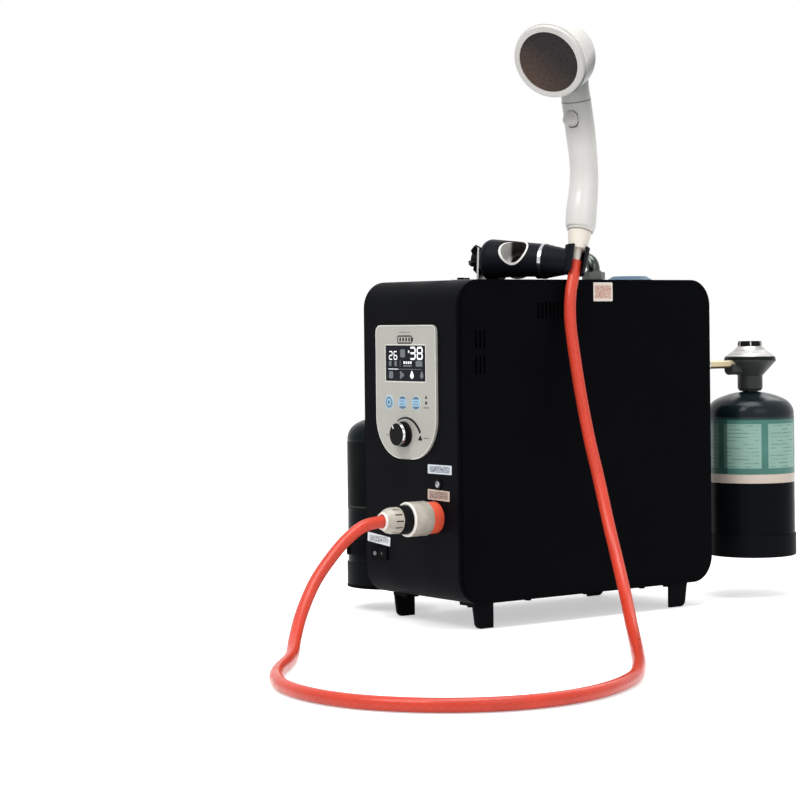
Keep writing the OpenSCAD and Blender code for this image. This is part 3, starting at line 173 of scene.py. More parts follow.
def turned_surface(profile, sides, origin, axis, side, hollow=False, notches=None):
    """A turned form: a profile of (radius, height) carried round the axis through origin, with the heights
    along the axis. It ends in flat faces, or with hollow its last row joins its first. Notches are a number
    round the form, their half width as a share of the pitch, and a depth for each row: each takes its depth
    from the radius, less towards its sides by the square of the distance."""
    profile = np.asarray(profile, float)
    axis = np.asarray(axis, float) / np.linalg.norm(axis)
    side = np.asarray(side, float) - np.dot(side, axis) * axis
    side /= np.linalg.norm(side)
    up = np.cross(axis, side)
    turn = 2 * np.pi * np.arange(sides) / sides
    circle = np.cos(turn)[:, None] * side + np.sin(turn)[:, None] * up
    radius = np.broadcast_to(profile[:, :1], (len(profile), sides))
    if notches:
        count, half, depths = notches
        off = np.abs((turn * count / (2 * np.pi) + 0.5) % 1 - 0.5) / half
        radius = radius - np.asarray(depths)[:, None] * np.clip(1 - off ** 2, 0, 1)
    points = np.asarray(origin) + radius[:, :, None] * circle[None] + profile[:, None, 1:2] * axis
    n = len(profile)
    if hollow:
        return points.reshape(-1, 3), (weave_faces(n + 1, sides) % (n * sides)).tolist()
    return points.reshape(-1, 3), capped_faces(n, sides)


def turned_piece(name, profile, sides, origin, material, sharp, axis=(0, -1, 0), side=(1, 0, 0), hollow=False,
                 notches=None):
    """A turned piece from a profile in millimetres. With notches, their number and half width, each row of
    the profile also has their depth."""
    rows = np.array(profile, float) / 1000
    if notches:
        notches = (*notches, rows[:, 2])
    points, faces = turned_surface(rows[:, :2], sides, origin, axis, side, hollow, notches)
    return make_piece(name, points, faces, material, sharp=sharp)


def arc_points(cx, cy, r, start, end, count):
    """Points of a circle's arc, from one angle to another in degrees."""
    t = np.radians(np.linspace(start, end, count))
    return np.stack([cx + r * np.cos(t), cy + r * np.sin(t)], 1)


def rounded_outline(cx, cy, w, h, r, steps=6):
    """Outline of a rectangle about (cx, cy) with round corners, anticlockwise."""
    x, y = w / 2 - r, h / 2 - r
    return np.vstack([arc_points(cx + sx * x, cy + sy * y, r, a, a + 90, steps)
                      for sx, sy, a in ((1, 1, 0), (-1, 1, 90), (-1, -1, 180), (1, -1, 270))])


def arc_band(cx, cy, r, start, end, widths, steps=40):
    """Outline of a band along an arc; its width runs from the first to the last of widths."""
    w = np.linspace(widths[0], widths[1], steps) / 2
    t = np.radians(np.linspace(start, end, steps))
    c = np.stack([np.cos(t), np.sin(t)], 1)
    return np.vstack([(cx, cy) + c * (r + w)[:, None], ((cx, cy) + c * (r - w)[:, None])[::-1]])


def frame_outline(outer, inner):
    """Outline of the frame between two outlines, cut open where they start."""
    return np.vstack([outer, outer[:1], inner[:1], inner[::-1]])


def turned_outline(outline, degrees):
    """The outline turned anticlockwise about its origin."""
    t = math.radians(degrees)
    return outline @ np.array([[math.cos(t), math.sin(t)], [-math.sin(t), math.cos(t)]])


def drop_outline(cx, cy, r, tall, steps=28):
    """Outline of a drop or a flame: a circle whose upper half is drawn up to a point."""
    t = np.linspace(0, 2 * np.pi, steps, endpoint=False)
    up = np.clip(np.sin(t), 0, 1)
    waist = 1 - 0.35 * up ** 2
    return np.stack([cx + r * np.cos(t) * waist, cy + r * np.sin(t) + (tall - r) * up ** 3], 1)


def signed_area(outline):
    """Area of an outline, positive when it runs anticlockwise."""
    x, y = outline[:, 0], outline[:, 1]
    return 0.5 * np.sum(x * np.roll(y, -1) - y * np.roll(x, -1))


def flat_piece(name, outlines, origin, u, v, thick, material, lift=0.0):
    """Thin plates: each outline in millimetres along u and v from origin, thick along u x v."""
    u, v = np.asarray(u, float), np.asarray(v, float)
    n = np.cross(u, v)
    points, faces = [], []
    base = 0
    for outline in outlines:
        q = np.asarray(outline, float)
        if signed_area(q) < 0:
            q = q[::-1]
        flat = np.asarray(origin) + (q[:, :1] * u + q[:, 1:] * v) / 1000
        k = len(q)
        points += [flat + n * lift / 1000, flat + n * (lift + thick) / 1000]
        j = np.arange(k)
        faces.append((base + j[::-1]).tolist())
        faces.append((base + k + j).tolist())
        faces += np.stack([base + j, base + (j + 1) % k, base + k + (j + 1) % k, base + k + j], 1).tolist()
        base += 2 * k
    return make_piece(name, np.vstack(points), faces, material, smooth=False)


def on_front(name, outlines, material, thick, y=PLATE_Y):
    """Plates on the control plate's face, or on a face at another y, with x to the right and z up."""
    return flat_piece(name, outlines, (CASE[0], y, 0), (1, 0, 0), (0, 0, 1), thick, material, 0.02)


def front_edges(node):
    """A node's left, right, bottom and top edges in millimetres, across from the casing's middle."""
    low, high = corner_of(node)
    return (low[0] - CASE[0]) * 1000, (high[0] - CASE[0]) * 1000, low[2] * 1000, high[2] * 1000


# Materials

class Mix:
    """A material's nodes, built one call at a time; places are in the object's own coordinates."""

    def __init__(self, name, color, rough, metal=0.0):
        self.mat = bpy.data.materials.new(name)
        self.mat.use_nodes = True
        self.tree = self.mat.node_tree
        self.bsdf = self.tree.nodes["Principled BSDF"]
        color = tuple(color) + (1.0,)
        self.set(Base_Color=color, Roughness=rough, Metallic=metal)
        self.mat.diffuse_color = color
        self.mat.roughness = rough
        self.mat.metallic = metal
        self.place = self.node("TexCoord").outputs["Object"]

    def node(self, kind, operation=None):
        made = self.tree.nodes.new("ShaderNode" + kind)
        if operation:
            made.operation = operation
        return made

    def put(self, socket, value):
        if isinstance(value, bpy.types.NodeSocket):
            self.tree.links.new(value, socket)
        else:
            socket.default_value = value

    def set(self, **sockets):
        """Values or links of the shader's own sockets."""
        for key, value in sockets.items():
            self.put(self.bsdf.inputs[key.replace("_", " ")], value)

    def math(self, operation, a, b=0.0, c=0.0):
        made = self.node("Math", operation)
        for socket, value in zip(made.inputs, (a, b, c)):
            self.put(socket, value)
        return made.outputs[0]

    def vector(self, operation, a, b=None, output=0):
        made = self.node("VectorMath", operation)
        self.put(made.inputs[0], a)
        if b is not None:
            made.inputs[1].default_value = tuple(map(float, b))
        return made.outputs[output]

    def length(self, a, b):
        return self.math("SQRT", self.math("ADD", self.math("MULTIPLY", a, a), self.math("MULTIPLY", b, b)))

    def stretched(self, scale, source=None):
        made = self.node("Mapping")
        self.put(made.inputs["Vector"], source or self.place)
        made.inputs["Scale"].default_value = scale
        return made.outputs[0]

    def noise(self, scale, detail=3.0, source=None):
        made = self.node("TexNoise")
        self.put(made.inputs["Vector"], source or self.place)
        made.inputs["Scale"].default_value = scale
        made.inputs["Detail"].default_value = detail
        return made.outputs["Fac"]

    def spread(self, value, low, high, to_low=0.0, to_high=1.0):
        """The value carried from one range to another, and held at its ends."""
        made = self.node("MapRange")
        for key, number in (("Value", value), ("From Min", low), ("From Max", high), ("To Min", to_low),
                            ("To Max", to_high)):
            self.put(made.inputs[key], number)
        return made.outputs[0]

    def within(self, value, low, high, edge=0.0004):
        """1 between low and high, with soft edges."""
        above = self.spread(value, low - edge, low + edge)
        return self.math("MULTIPLY", above, self.spread(value, high + edge, high - edge))

    def from_axis(self, center, axis):
        """Distance from the line through center along axis."""
        away = self.vector("SUBTRACT", self.place, center)
        return self.vector("LENGTH", self.vector("CROSS_PRODUCT", away, axis), output="Value")

    def along(self, center, direction):
        """Distance from center in a direction."""
        return self.vector("DOT_PRODUCT", self.vector("SUBTRACT", self.place, center), direction, "Value")

    def blend_colors(self, share, a, b):
        made = self.node("Mix")
        made.data_type = "RGBA"
        self.put(made.inputs[0], share)
        for socket, value in ((made.inputs[6], a), (made.inputs[7], b)):
            self.put(socket, value if isinstance(value, bpy.types.NodeSocket) else tuple(value)[:3] + (1.0,))
        return made.outputs[2]

    def tone(self, color, low, high, scale=22, detail=3):
        """The colour made darker and lighter between two factors, by slow noise."""
        share = self.spread(self.noise(scale, detail), 0.3, 0.7)
        return self.blend_colors(share, shade(color, low), shade(color, high))

    def paint(self, value):
        self.set(Base_Color=value)

    def wear(self, low, high, scale=60, detail=3, start=0.3, end=0.7):
        """Roughness between two numbers, by noise that is read from start to end."""
        self.set(Roughness=self.spread(self.noise(scale, detail), start, end, low, high))

    def bump(self, height, strength, distance=0.0002):
        made = self.node("Bump")
        self.put(made.inputs["Height"], height)
        made.inputs["Strength"].default_value = strength
        made.inputs["Distance"].default_value = distance
        self.set(Normal=made.outputs[0])

    def grain(self, scale, strength, distance=0.0002):
        self.bump(self.noise(scale, 2), strength, distance)

    def axes(self, source=None):
        made = self.node("SeparateXYZ")
        self.put(made.inputs[0], source or self.place)
        return made.outputs

    def own_map(self):
        """The piece's own map, in metres along its surface."""
        made = self.node("UVMap")
        made.uv_map = "surface"
        return made.outputs[0]


def srgb(r, g, b):
    """A colour of 0 to 255 as it is seen, in the linear numbers that a shader takes."""
    c = np.array([r, g, b], float) / 255
    return tuple(np.where(c <= 0.04045, c / 12.92, ((c + 0.055) / 1.055) ** 2.4))


def shade(color, factor):
    """The colour made lighter or darker by a factor."""
    return tuple(min(1.0, c * factor) for c in color[:3])


DULL = 0.02                         # specular level of black powder coat
DARK = 0.045                        # of other black surfaces


def coated_steel(name, color, rough=0.42, gleam=DULL):
    """Powder coat: a fine orange peel, with faint dusty patches that are a little rougher."""
    m = Mix(name, color, rough)
    patches = m.math("MULTIPLY", m.spread(m.noise(14, 4), 0.35, 0.7), 0.5)
    m.paint(m.blend_colors(patches, shade(color, 0.86), shade(color, 1.3)))
    m.wear(rough - 0.05, rough + 0.09, 30)
    m.grain(1400, 0.22, 0.00025)
    m.set(Specular_IOR_Level=gleam)
    return m.mat


def moulded_plastic(name, color, rough=0.4, grain=900, depth=0.12, coat=0.0, tone=0.06):
    """Moulded plastic: a fine texture and slow changes of tone."""
    m = Mix(name, color, rough)
    m.paint(m.tone(color, 1 - tone, 1 + tone))
    m.wear(rough - 0.04, rough + 0.06)
    m.grain(grain, depth)
    m.set(Coat_Weight=coat, Coat_Roughness=0.12, Specular_IOR_Level=0.4 if max(color) > 0.1 else DARK)
    return m.mat


def brushed_metal(name, color, rough=0.32, along=(1, 1, 18), scale=90):
    """Brushed metal: noise drawn out along one axis changes the tone, the roughness and the relief."""
    m = Mix(name, color, rough, 1.0)
    lines = m.noise(scale, 4, m.stretched(along))
    m.paint(m.blend_colors(m.spread(lines, 0.3, 0.7), shade(color, 0.86), shade(color, 1.08)))
    m.set(Roughness=m.spread(lines, 0.25, 0.75, rough - 0.07, rough + 0.1))
    m.bump(lines, 0.08)
    return m.mat


def bright_metal(name, color, rough=0.12):
    """Polished plating with faint handling marks."""
    m = Mix(name, color, rough, 1.0)
    m.wear(rough, rough + 0.12, 120, 5, 0.4, 0.75)
    m.paint(m.tone(color, 0.94, 1.03, 40, 2))
    m.grain(300, 0.02, 0.0001)
    return m.mat


def shaded_shell(name, color, dark, place, direction, start, end):
    """The handset's glossy plastic with painted shade: greyer along a direction, from the distance start to
    the distance end.
    """
    m = Mix(name, color, 0.3)
    body = m.tone(color, 0.97, 1.03)
    # painted shade towards the dark colour
    m.paint(m.blend_colors(m.spread(m.along(place, direction), start, end), body, dark))
    m.wear(0.26, 0.36)
    m.grain(500, 0.05)
    m.set(Coat_Weight=0.35, Coat_Roughness=0.12, Specular_IOR_Level=0.4)
    return m.mat


def gloss_enamel(name, color, low_color, split, gleam, rough=0.22):
    """Enamelled steel: a clear gloss over a slightly uneven coat, with a plainer and duller black below the
    height split."""
    m = Mix(name, color, rough)
    low = m.spread(m.axes()[2], split + 0.001, split - 0.001)
    m.paint(m.blend_colors(low, m.tone(color, 0.85, 1.15, 9), low_color))
    m.wear(rough - 0.03, rough + 0.1, 50, 4, 0.35, 0.75)
    m.grain(45, 0.05, 0.0004)
    m.set(Specular_IOR_Level=m.spread(low, 0.0, 1.0, gleam, DULL), Coat_Roughness=0.08,
          Coat_Weight=m.spread(low, 0.0, 1.0, gleam / 4, 0.0))
    return m.mat


def printed_paper(name, color, ink, cx, cz, w, h, plane="xz"):
    """A bare sticker: paper with a plain mottled block of a second tone in its middle, with a soft edge."""
    m = Mix(name, color, 0.45)
    x, y, z = m.axes()
    far_x = m.math("ABSOLUTE", m.math("SUBTRACT", x if plane == "xz" else y, cx))
    far_z = m.math("ABSOLUTE", m.math("SUBTRACT", z, cz))
    inside = m.math("MULTIPLY", m.spread(far_x, w / 2 * 0.87, w / 2 * 0.81),
                    m.spread(far_z, h / 2 * 0.75, h / 2 * 0.63))
    mottle = m.spread(m.noise(1100), 0.42, 0.56, 0.2, 1.0)
    m.paint(m.blend_colors(m.math("MULTIPLY", inside, mottle), color, ink))
    m.grain(2500, 0.05, 0.0001)
    m.set(Specular_IOR_Level=0.4)
    return m.mat


def hose_rubber(name, color):
    """Glossy clear-coated hose: the tone changes slowly along it, over a faint laid braid on its own map."""
    m = Mix(name, color, 0.3)
    round_it, along_it, _ = m.axes(m.own_map())
    lay = []
    for sign in (1, -1):
        run = m.math("MULTIPLY", along_it, sign * 700.0)
        lay.append(m.math("SINE", m.math("ADD", m.math("MULTIPLY", round_it, 12.0 * math.pi), run)))
    braid = m.spread(m.math("MAXIMUM", lay[0], lay[1]), 0.55, 1.0)
    body = m.tone(color, 0.9, 1.08, 30)
    m.paint(m.blend_colors(m.math("MULTIPLY", braid, 0.16), body, shade(color, 1.5)))
    m.wear(0.26, 0.38, 80)
    m.grain(160, 0.04, 0.0004)
    m.set(Coat_Weight=0.08, Coat_Roughness=0.15, Specular_IOR_Level=0.28)
    return m.mat


def push_button_paint(name, color, dark, cx, cz, kind):
    """A push button's print: a pale disc with a darker ring and dot, or darker caps and two short lines."""
    m = Mix(name, color, 0.35)
    x, _, z = m.axes()
    if kind == "ring":
        far = m.from_axis((cx, 0, cz), (0, 1, 0))
        ring = m.spread(m.math("ABSOLUTE", m.math("SUBTRACT", far, 0.0048)), 0.001, 0.0006)
        mark = m.math("MAXIMUM", ring, m.spread(far, 0.0023, 0.0017))
    else:
        wide, tall = (m.math("ABSOLUTE", m.math("SUBTRACT", a, b)) for a, b in ((x, cx), (z, cz)))
        caps = m.spread(tall, 0.0034, 0.0039)
        rows = m.spread(m.math("ABSOLUTE", m.math("SUBTRACT", tall, 0.0014)), 0.0006, 0.0004)
        lines = m.math("MULTIPLY", rows, m.spread(wide, 0.0042, 0.0038))
        mark = m.math("MAXIMUM", caps, m.math("MULTIPLY", lines, 0.8))
    m.paint(m.blend_colors(mark, color, dark))
    m.grain(1500, 0.05, 0.0001)
    m.set(Coat_Weight=0.3, Coat_Roughness=0.15)
    return m.mat


def cylinder_print(name, green, pale, cream):
    """A gas cylinder's printed band, on its own map: pale panels with plain rules on a green ground with one
    dark column, under a dark line and over a plain cream strip."""
    m = Mix(name, green, 0.34)
    uv = m.own_map()
    round_it, up_it, _ = m.axes(uv)
    pitch, step = 0.0518, 0.0042
    shifted = m.math("DIVIDE", m.math("ADD", round_it, 0.0228), pitch)
    cell = m.math("MULTIPLY", m.math("FRACT", shifted), pitch)
    panel = m.math("MULTIPLY", m.within(cell, 0.004, pitch - 0.004), m.within(up_it, 0.017, 0.067))
    row = m.math("MULTIPLY", m.math("FRACT", m.math("DIVIDE", up_it, step)), step)
    broken = m.spread(m.noise(1.0, 2, m.stretched((60, 400, 1), uv)), 0.46, 0.52)
    rule = m.math("MULTIPLY", m.within(row, 0.0014, 0.0024, 0.0003), broken)
    rules = m.math("MULTIPLY", m.math("MULTIPLY", rule, panel), m.within(cell, 0.007, pitch - 0.007))
    column = m.math("MULTIPLY", m.within(round_it, 0.222, 0.2445), 0.7)
    print_it = m.blend_colors(m.math("MULTIPLY", panel, 0.85), m.tone(green, 0.85, 1.2, 25),
                              m.tone(pale, 0.92, 1.05, 25))
    for share, ink in ((m.math("MULTIPLY", rules, 0.6), shade(green, 0.55)),
                       (m.math("MAXIMUM", column, m.spread(up_it, 0.0712, 0.072)), shade(green, 0.18)),
                       (m.spread(up_it, 0.0105, 0.0095), cream)):
        print_it = m.blend_colors(share, print_it, ink)
    m.paint(print_it)
    m.wear(0.28, 0.42, 70)
    m.grain(400, 0.03)
    m.set(Coat_Weight=0.06, Coat_Roughness=0.15, Specular_IOR_Level=0.2)
    return m.mat


def painted_shade_band_print(name, color, line):
    """A printed band in painted shade: dark all over, on its own map, with one thin pale line near its foot.
    """
    m = Mix(name, color, 0.36)
    up_it = m.axes(m.own_map())[1]
    m.paint(m.blend_colors(m.within(up_it, 0.0022, 0.0034), m.tone(color, 0.8, 1.25, 25), line))
    m.wear(0.3, 0.42, 70)
    m.grain(400, 0.03)
    m.set(Specular_IOR_Level=DULL)
    return m.mat


def socket_paint(name, plastic, metal, center):
    """The power socket: a black ring round a plated barrel, told apart by the distance from its axis."""
    m = Mix(name, metal, 0.3)
    barrel = m.spread(m.from_axis(center, (0, 1, 0)), 0.0034, 0.003)
    m.paint(m.blend_colors(barrel, plastic, metal))
    m.wear(0.24, 0.4, 400, 2)
    m.set(Metallic=barrel, Specular_IOR_Level=DARK)
    return m.mat


def connector_plastic(name, color, rim, notch=None):
    """The click connector's plastic: cloudy and a little glossy, with a painted highlight past the depth rim.
    Notch is a point of the axis, the notches' radius and their depth, and the notches are painted darker."""
    m = Mix(name, color, 0.3)
    y = m.axes()[1]
    body = m.tone(color, 0.78, 1.12, 75, 4)
    # painted highlight: paler past the depth rim
    body = m.blend_colors(m.spread(y, rim + 0.0004, rim - 0.0004), body, srgb(238, 235, 228))
    if notch:
        center, radius, depth = notch
        far = m.from_axis(center, (0, 1, 0))
        # the notches painted darker
        notch_darkening = m.math("MULTIPLY", m.spread(far, radius - 0.0001, radius - 0.0006), m.within(y, depth, 0))
        body = m.blend_colors(notch_darkening, body, srgb(74, 66, 56))
    m.paint(body)
    m.wear(0.26, 0.4, 90)
    m.grain(700, 0.06)
    m.set(Specular_IOR_Level=0.4)
    return m.mat


def taped_pipe(name, metal, tape, start):
    """A plated pipe, its metal darkened as a painted reflection of dark surroundings, whose thread, past
    start along -X, is wound with ribbed tape.
    """
    m = Mix(name, metal, 0.2)
    x = m.axes()[0]
    wound = m.spread(x, start + 0.0002, start - 0.0002)
    m.paint(m.blend_colors(wound, m.tone(metal, 0.8, 1.1, 40, 2), tape))
    m.set(Metallic=m.math("SUBTRACT", 1.0, wound), Roughness=m.spread(wound, 0.0, 1.0, 0.2, 0.6))
    ribs = m.math("SINE", m.math("MULTIPLY", x, 2 * math.pi / 0.0018))
    m.bump(m.math("MULTIPLY", ribs, wound), 0.5, 0.0004)
    return m.mat


def cover_metal(name, silver, dark, center, split):
    """The regulator's cover: turned silver with fine rings, with painted shade as a dark ring at its outer
    edge, and dark above the height split, where six pale notches stand round the cap."""
    m = Mix(name, silver, 0.34, 1.0)
    x, y, z = m.axes()
    dx, dy = m.math("SUBTRACT", x, center[0]), m.math("SUBTRACT", y, center[1])
    rings = m.noise(1.0, 3, m.stretched((40, 40, 1400)))
    turned = m.blend_colors(m.spread(rings, 0.35, 0.65), shade(silver, 0.72), shade(silver, 1.1))
    wave = m.math("COSINE", m.math("ADD", m.math("MULTIPLY", m.math("ARCTAN2", dy, dx), 6.0), 4.24))
    cap = m.math("MULTIPLY", m.spread(z, split, split + 0.0003), m.spread(wave, 0.97, 0.93))
    # painted shade at the cover's rounded outer edge, joined to the cap's own dark top
    black = m.math("MAXIMUM", cap, m.spread(m.length(dx, dy), 0.0272, 0.0277))
    m.paint(m.blend_colors(black, turned, dark))
    m.set(Metallic=m.math("SUBTRACT", 1.0, black), Roughness=m.spread(rings, 0.3, 0.7, 0.28, 0.44),
          Specular_IOR_Level=DARK)
    m.bump(rings, 0.12)
    return m.mat


def braided_pipe(name, color, low_color, height):
    """The gas pipe: pale metal with a wound pattern aslant, and painted shade on its underside below the
    height.
    """
    m = Mix(name, color, 0.36, 0.7)
    _, y, z = m.axes()
    aslant = m.math("ADD", y, m.math("MULTIPLY", z, 0.9))
    lay = m.math("SINE", m.math("MULTIPLY", aslant, 2 * math.pi / 0.0034))
    wound = m.blend_colors(m.spread(lay, -0.4, 0.8), shade(color, 0.72), shade(color, 1.1))
    # painted shade: darker below the height
    m.paint(m.blend_colors(m.spread(z, height + 0.0005, height - 0.0025), wound, low_color))
    m.wear(0.32, 0.46, 300, 2)
    m.bump(lay, 0.3, 0.0003)
    return m.mat


def bush_paint(name, white, dark, center, axis, bore):
    """The rail bush: white plastic whose bore, told apart by the distance from its axis, is painted dark as
    shade, but for one side that stays white as painted light."""
    m = Mix(name, white, 0.36)
    # painted light and shade: the bore stays white on the side towards the camera's left and is darkened
    # elsewhere
    lit_side = m.spread(m.along(center, (-0.594, -0.805, 0.0)), 0.0055, 0.0085)
    bore_shade = m.math("SUBTRACT", 1.0, m.math("MULTIPLY", lit_side, 0.95))
    inside = m.math("MULTIPLY", m.spread(m.from_axis(center, axis), bore + 0.0003, bore), bore_shade)
    m.paint(m.blend_colors(inside, white, m.tone(dark, 0.7, 1.3, 120)))
    m.wear(0.3, 0.42, 80, 2)
    m.grain(700, 0.06)
    m.set(Specular_IOR_Level=0.3)
    return m.mat


def spray_disc_paint(name, color, center, across, down):
    """The spray face: dark satin metal with fine holes on a square grid, and a browner tone towards one side.
    """
    m = Mix(name, color, 0.36, 0.35)
    coords = [m.along(center, axis) for axis in (across, down)]
    pitch = 0.0021
    near = [m.math("SUBTRACT", m.math("FRACT", m.math("DIVIDE", c, pitch)), 0.5) for c in coords]
    hole = m.spread(m.length(*near), 0.24, 0.17)
    slow = m.math("SUBTRACT", m.math("MULTIPLY", m.noise(26), 0.03), m.math("SUBTRACT", *coords))
    plate = m.blend_colors(m.spread(slow, 0.003, 0.058), color, srgb(74, 58, 50))
    m.paint(m.blend_colors(m.math("MULTIPLY", hole, 0.2), plate, shade(color, 0.4)))
    m.wear(0.3, 0.48, 90)
    m.bump(m.math("SUBTRACT", 1.0, hole), 0.12)
    m.set(Specular_IOR_Level=0.2)
    return m.mat


def lit_mark(name, color, strength):
    """A lit mark of the display: pale, with a faint glow of its own and a fine grain."""
    m = Mix(name, color, 0.4)
    m.paint(m.tone(color, 0.9, 1.0, 900, 2))
    m.set(Emission_Color=tuple(color) + (1.0,), Emission_Strength=strength)
    return m.mat


FINISHES = {}


def finish(key, build, *values):
    """The material of that name, made on first use."""
    if key not in FINISHES:
        FINISHES[key] = build(key, *values)
    return FINISHES[key]


def ink(name, color, rough=0.5, depth=0.02):
    """A thin print on plastic."""
    return finish(name, moulded_plastic, color, rough, 1500, depth)


# Finishes that more than one operator uses
BLACK_PLASTIC = ("black_plastic", moulded_plastic, srgb(17, 17, 19), 0.46, 1100, 0.14)
CHROME = ("chrome_trim", bright_metal, srgb(204, 206, 210), 0.12)


def dress(material, *nodes):
    """Give CAD nodes their material."""
    for node in nodes:
        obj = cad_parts[node]
        obj.data.materials.clear()
        obj.data.materials.append(material)


def settle(piece, body, node=None):
    """Give a piece its body and the CAD node whose place it takes."""
    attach(piece, body)
    if node:
        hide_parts(node)


# Settings

def color_setting(label, text, value):
    return FloatVectorProperty(name=label, description=text, subtype="COLOR", size=3, min=0, max=1,
                               default=value)


def size_setting(label, text, value):
    return FloatProperty(name=label, description=text, unit="LENGTH", default=value, min=0.0001, precision=4)


class ShowerHoseSettings(bpy.types.PropertyGroup):
    diameter: size_setting("Diameter", "Outer diameter of the hose", 0.0124)
    sides: IntProperty(name="Sides", description="Number of sides of the hose", default=40, min=12, max=96)
    steps: IntProperty(name="Steps", description="Rings from one point of the route to the next",
                       default=10, min=3, max=24)
    color: color_setting("Colour", "Colour of the hose", srgb(199, 62, 43))


class ShowerCaseSettings(bpy.types.PropertyGroup):
    coat: color_setting("Coat", "Colour of the casing's powder coat", srgb(13, 14, 18))
    plate: color_setting("Plate", "Colour of the control plate", srgb(174, 173, 165))
    button: color_setting("Buttons", "Colour of the three push buttons", srgb(142, 184, 210))
    label: color_setting("Labels", "Colour of the upper sticker's paper", srgb(212, 219, 226))


class ShowerHandsetSettings(bpy.types.PropertyGroup):
    shell: color_setting("Shell", "Colour of the handset's plastic", srgb(212, 210, 206))
    nut: color_setting("Nut", "Colour of the hose nut's plastic", srgb(226, 218, 206))
    face: color_setting("Face", "Colour of the spray face", srgb(36, 33, 33))


class ShowerGasSettings(bpy.types.PropertyGroup):
    enamel: color_setting("Enamel", "Colour of the cylinders' steel", srgb(16, 27, 32))
    band: color_setting("Band", "Colour of the rear cylinder's printed band", srgb(74, 124, 114))
    panel: color_setting("Panels", "Colour of the pale panels on the band", srgb(152, 186, 174))


class ShowerStageSettings(bpy.types.PropertyGroup):
    lens: FloatProperty(name="Lens", description="Focal length of the camera in millimetres",
                        default=102.15, min=10)
    floor: color_setting("Floor", "Colour of the floor", (0.86, 0.86, 0.86))
    world: FloatProperty(name="Sky", description="Brightness of the light from all round",
                         default=0.4, min=0)


SETTINGS = {
    "shower_hose": ShowerHoseSettings,
    "shower_case": ShowerCaseSettings,
    "shower_handset": ShowerHandsetSettings,
    "shower_gas": ShowerGasSettings,
    "shower_stage": ShowerStageSettings,
}

# Hose

CUP = (84.5, -18.6, 377.4)          # the cup's middle, from the casing's middle
TURN = math.radians(22)             # of the cup's forward direction from -Y, towards +X
TILT = math.radians(18)             # of the cup's axis
AHEAD = np.array([math.sin(TURN), -math.cos(TURN), 0.0])
ACROSS = np.array([math.cos(TURN), math.sin(TURN), 0.0])


def cup_point(t):
    """A point at a height t, in millimetres, on the cup's axis."""
    out = 3.2 - t * math.sin(TILT)
    return [CUP[0] + out * math.sin(TURN), CUP[1] - out * math.cos(TURN), CUP[2] + t * math.cos(TILT)]


def handset_point(back, up):
    """A place in the handset's plane, from millimetres back from the cup's middle and up."""
    return at_case(CUP[0] - back * math.sin(TURN), CUP[1] + back * math.cos(TURN), CUP[2] + up)


LIE = 6.3                           # height of the hose's middle where it lies
BEND_START = (102, -38.5, 280)      # where the hose starts to follow the cup
HOSE_ROUTE = [
    [42, -243, 115], [42, -266, 112], [44, -287, 102], [50, -311, 86], [62, -341, 63], [82, -370, 38],
    [107, -395, 18], [135, -417, 8], [165, -443, LIE], [200, -475, LIE], [239, -503, LIE],
    [284, -523, LIE], [337, -529, LIE], [390, -517, LIE], [438, -483, LIE], [469, -435, LIE],
    [479, -380, LIE], [468, -323, LIE], [436, -264, LIE], [390, -215, LIE], [345, -175, LIE],
    [300, -137, 10], [260, -106, 22], [222, -79, 44], [188, -59, 75], [162, -47, 109],
    [140, -40, 152], [123, -38, 195], [111, -38, 238], BEND_START, [96, -38.5, 315], [92, -34.5, 342]]


class SHOWER_OT_hose(bpy.types.Operator):
    """Make the red hose from the click connector to the handset"""
    bl_idname = "shower.hose"
    bl_label = "Hose"

    def execute(self, context):
        s = context.scene.shower_hose
        points = np.array(HOSE_ROUTE + [cup_point(-14), cup_point(1)], float) / 1000 + CASE
        path = smooth_path(points, s.steps)
        path[:, 2] = np.maximum(path[:, 2], LIE / 1000)
        mesh_points, faces, uv = tube_surface(path, s.diameter / 2, s.sides)
        rubber = finish("red_hose", hose_rubber, tuple(s.color))
        hose = make_piece("hose_tube", mesh_points, faces, rubber, uv=uv, sharp=50)
        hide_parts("hose")
        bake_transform(hose)
        return {"FINISHED"}


# Casing and what stands on it

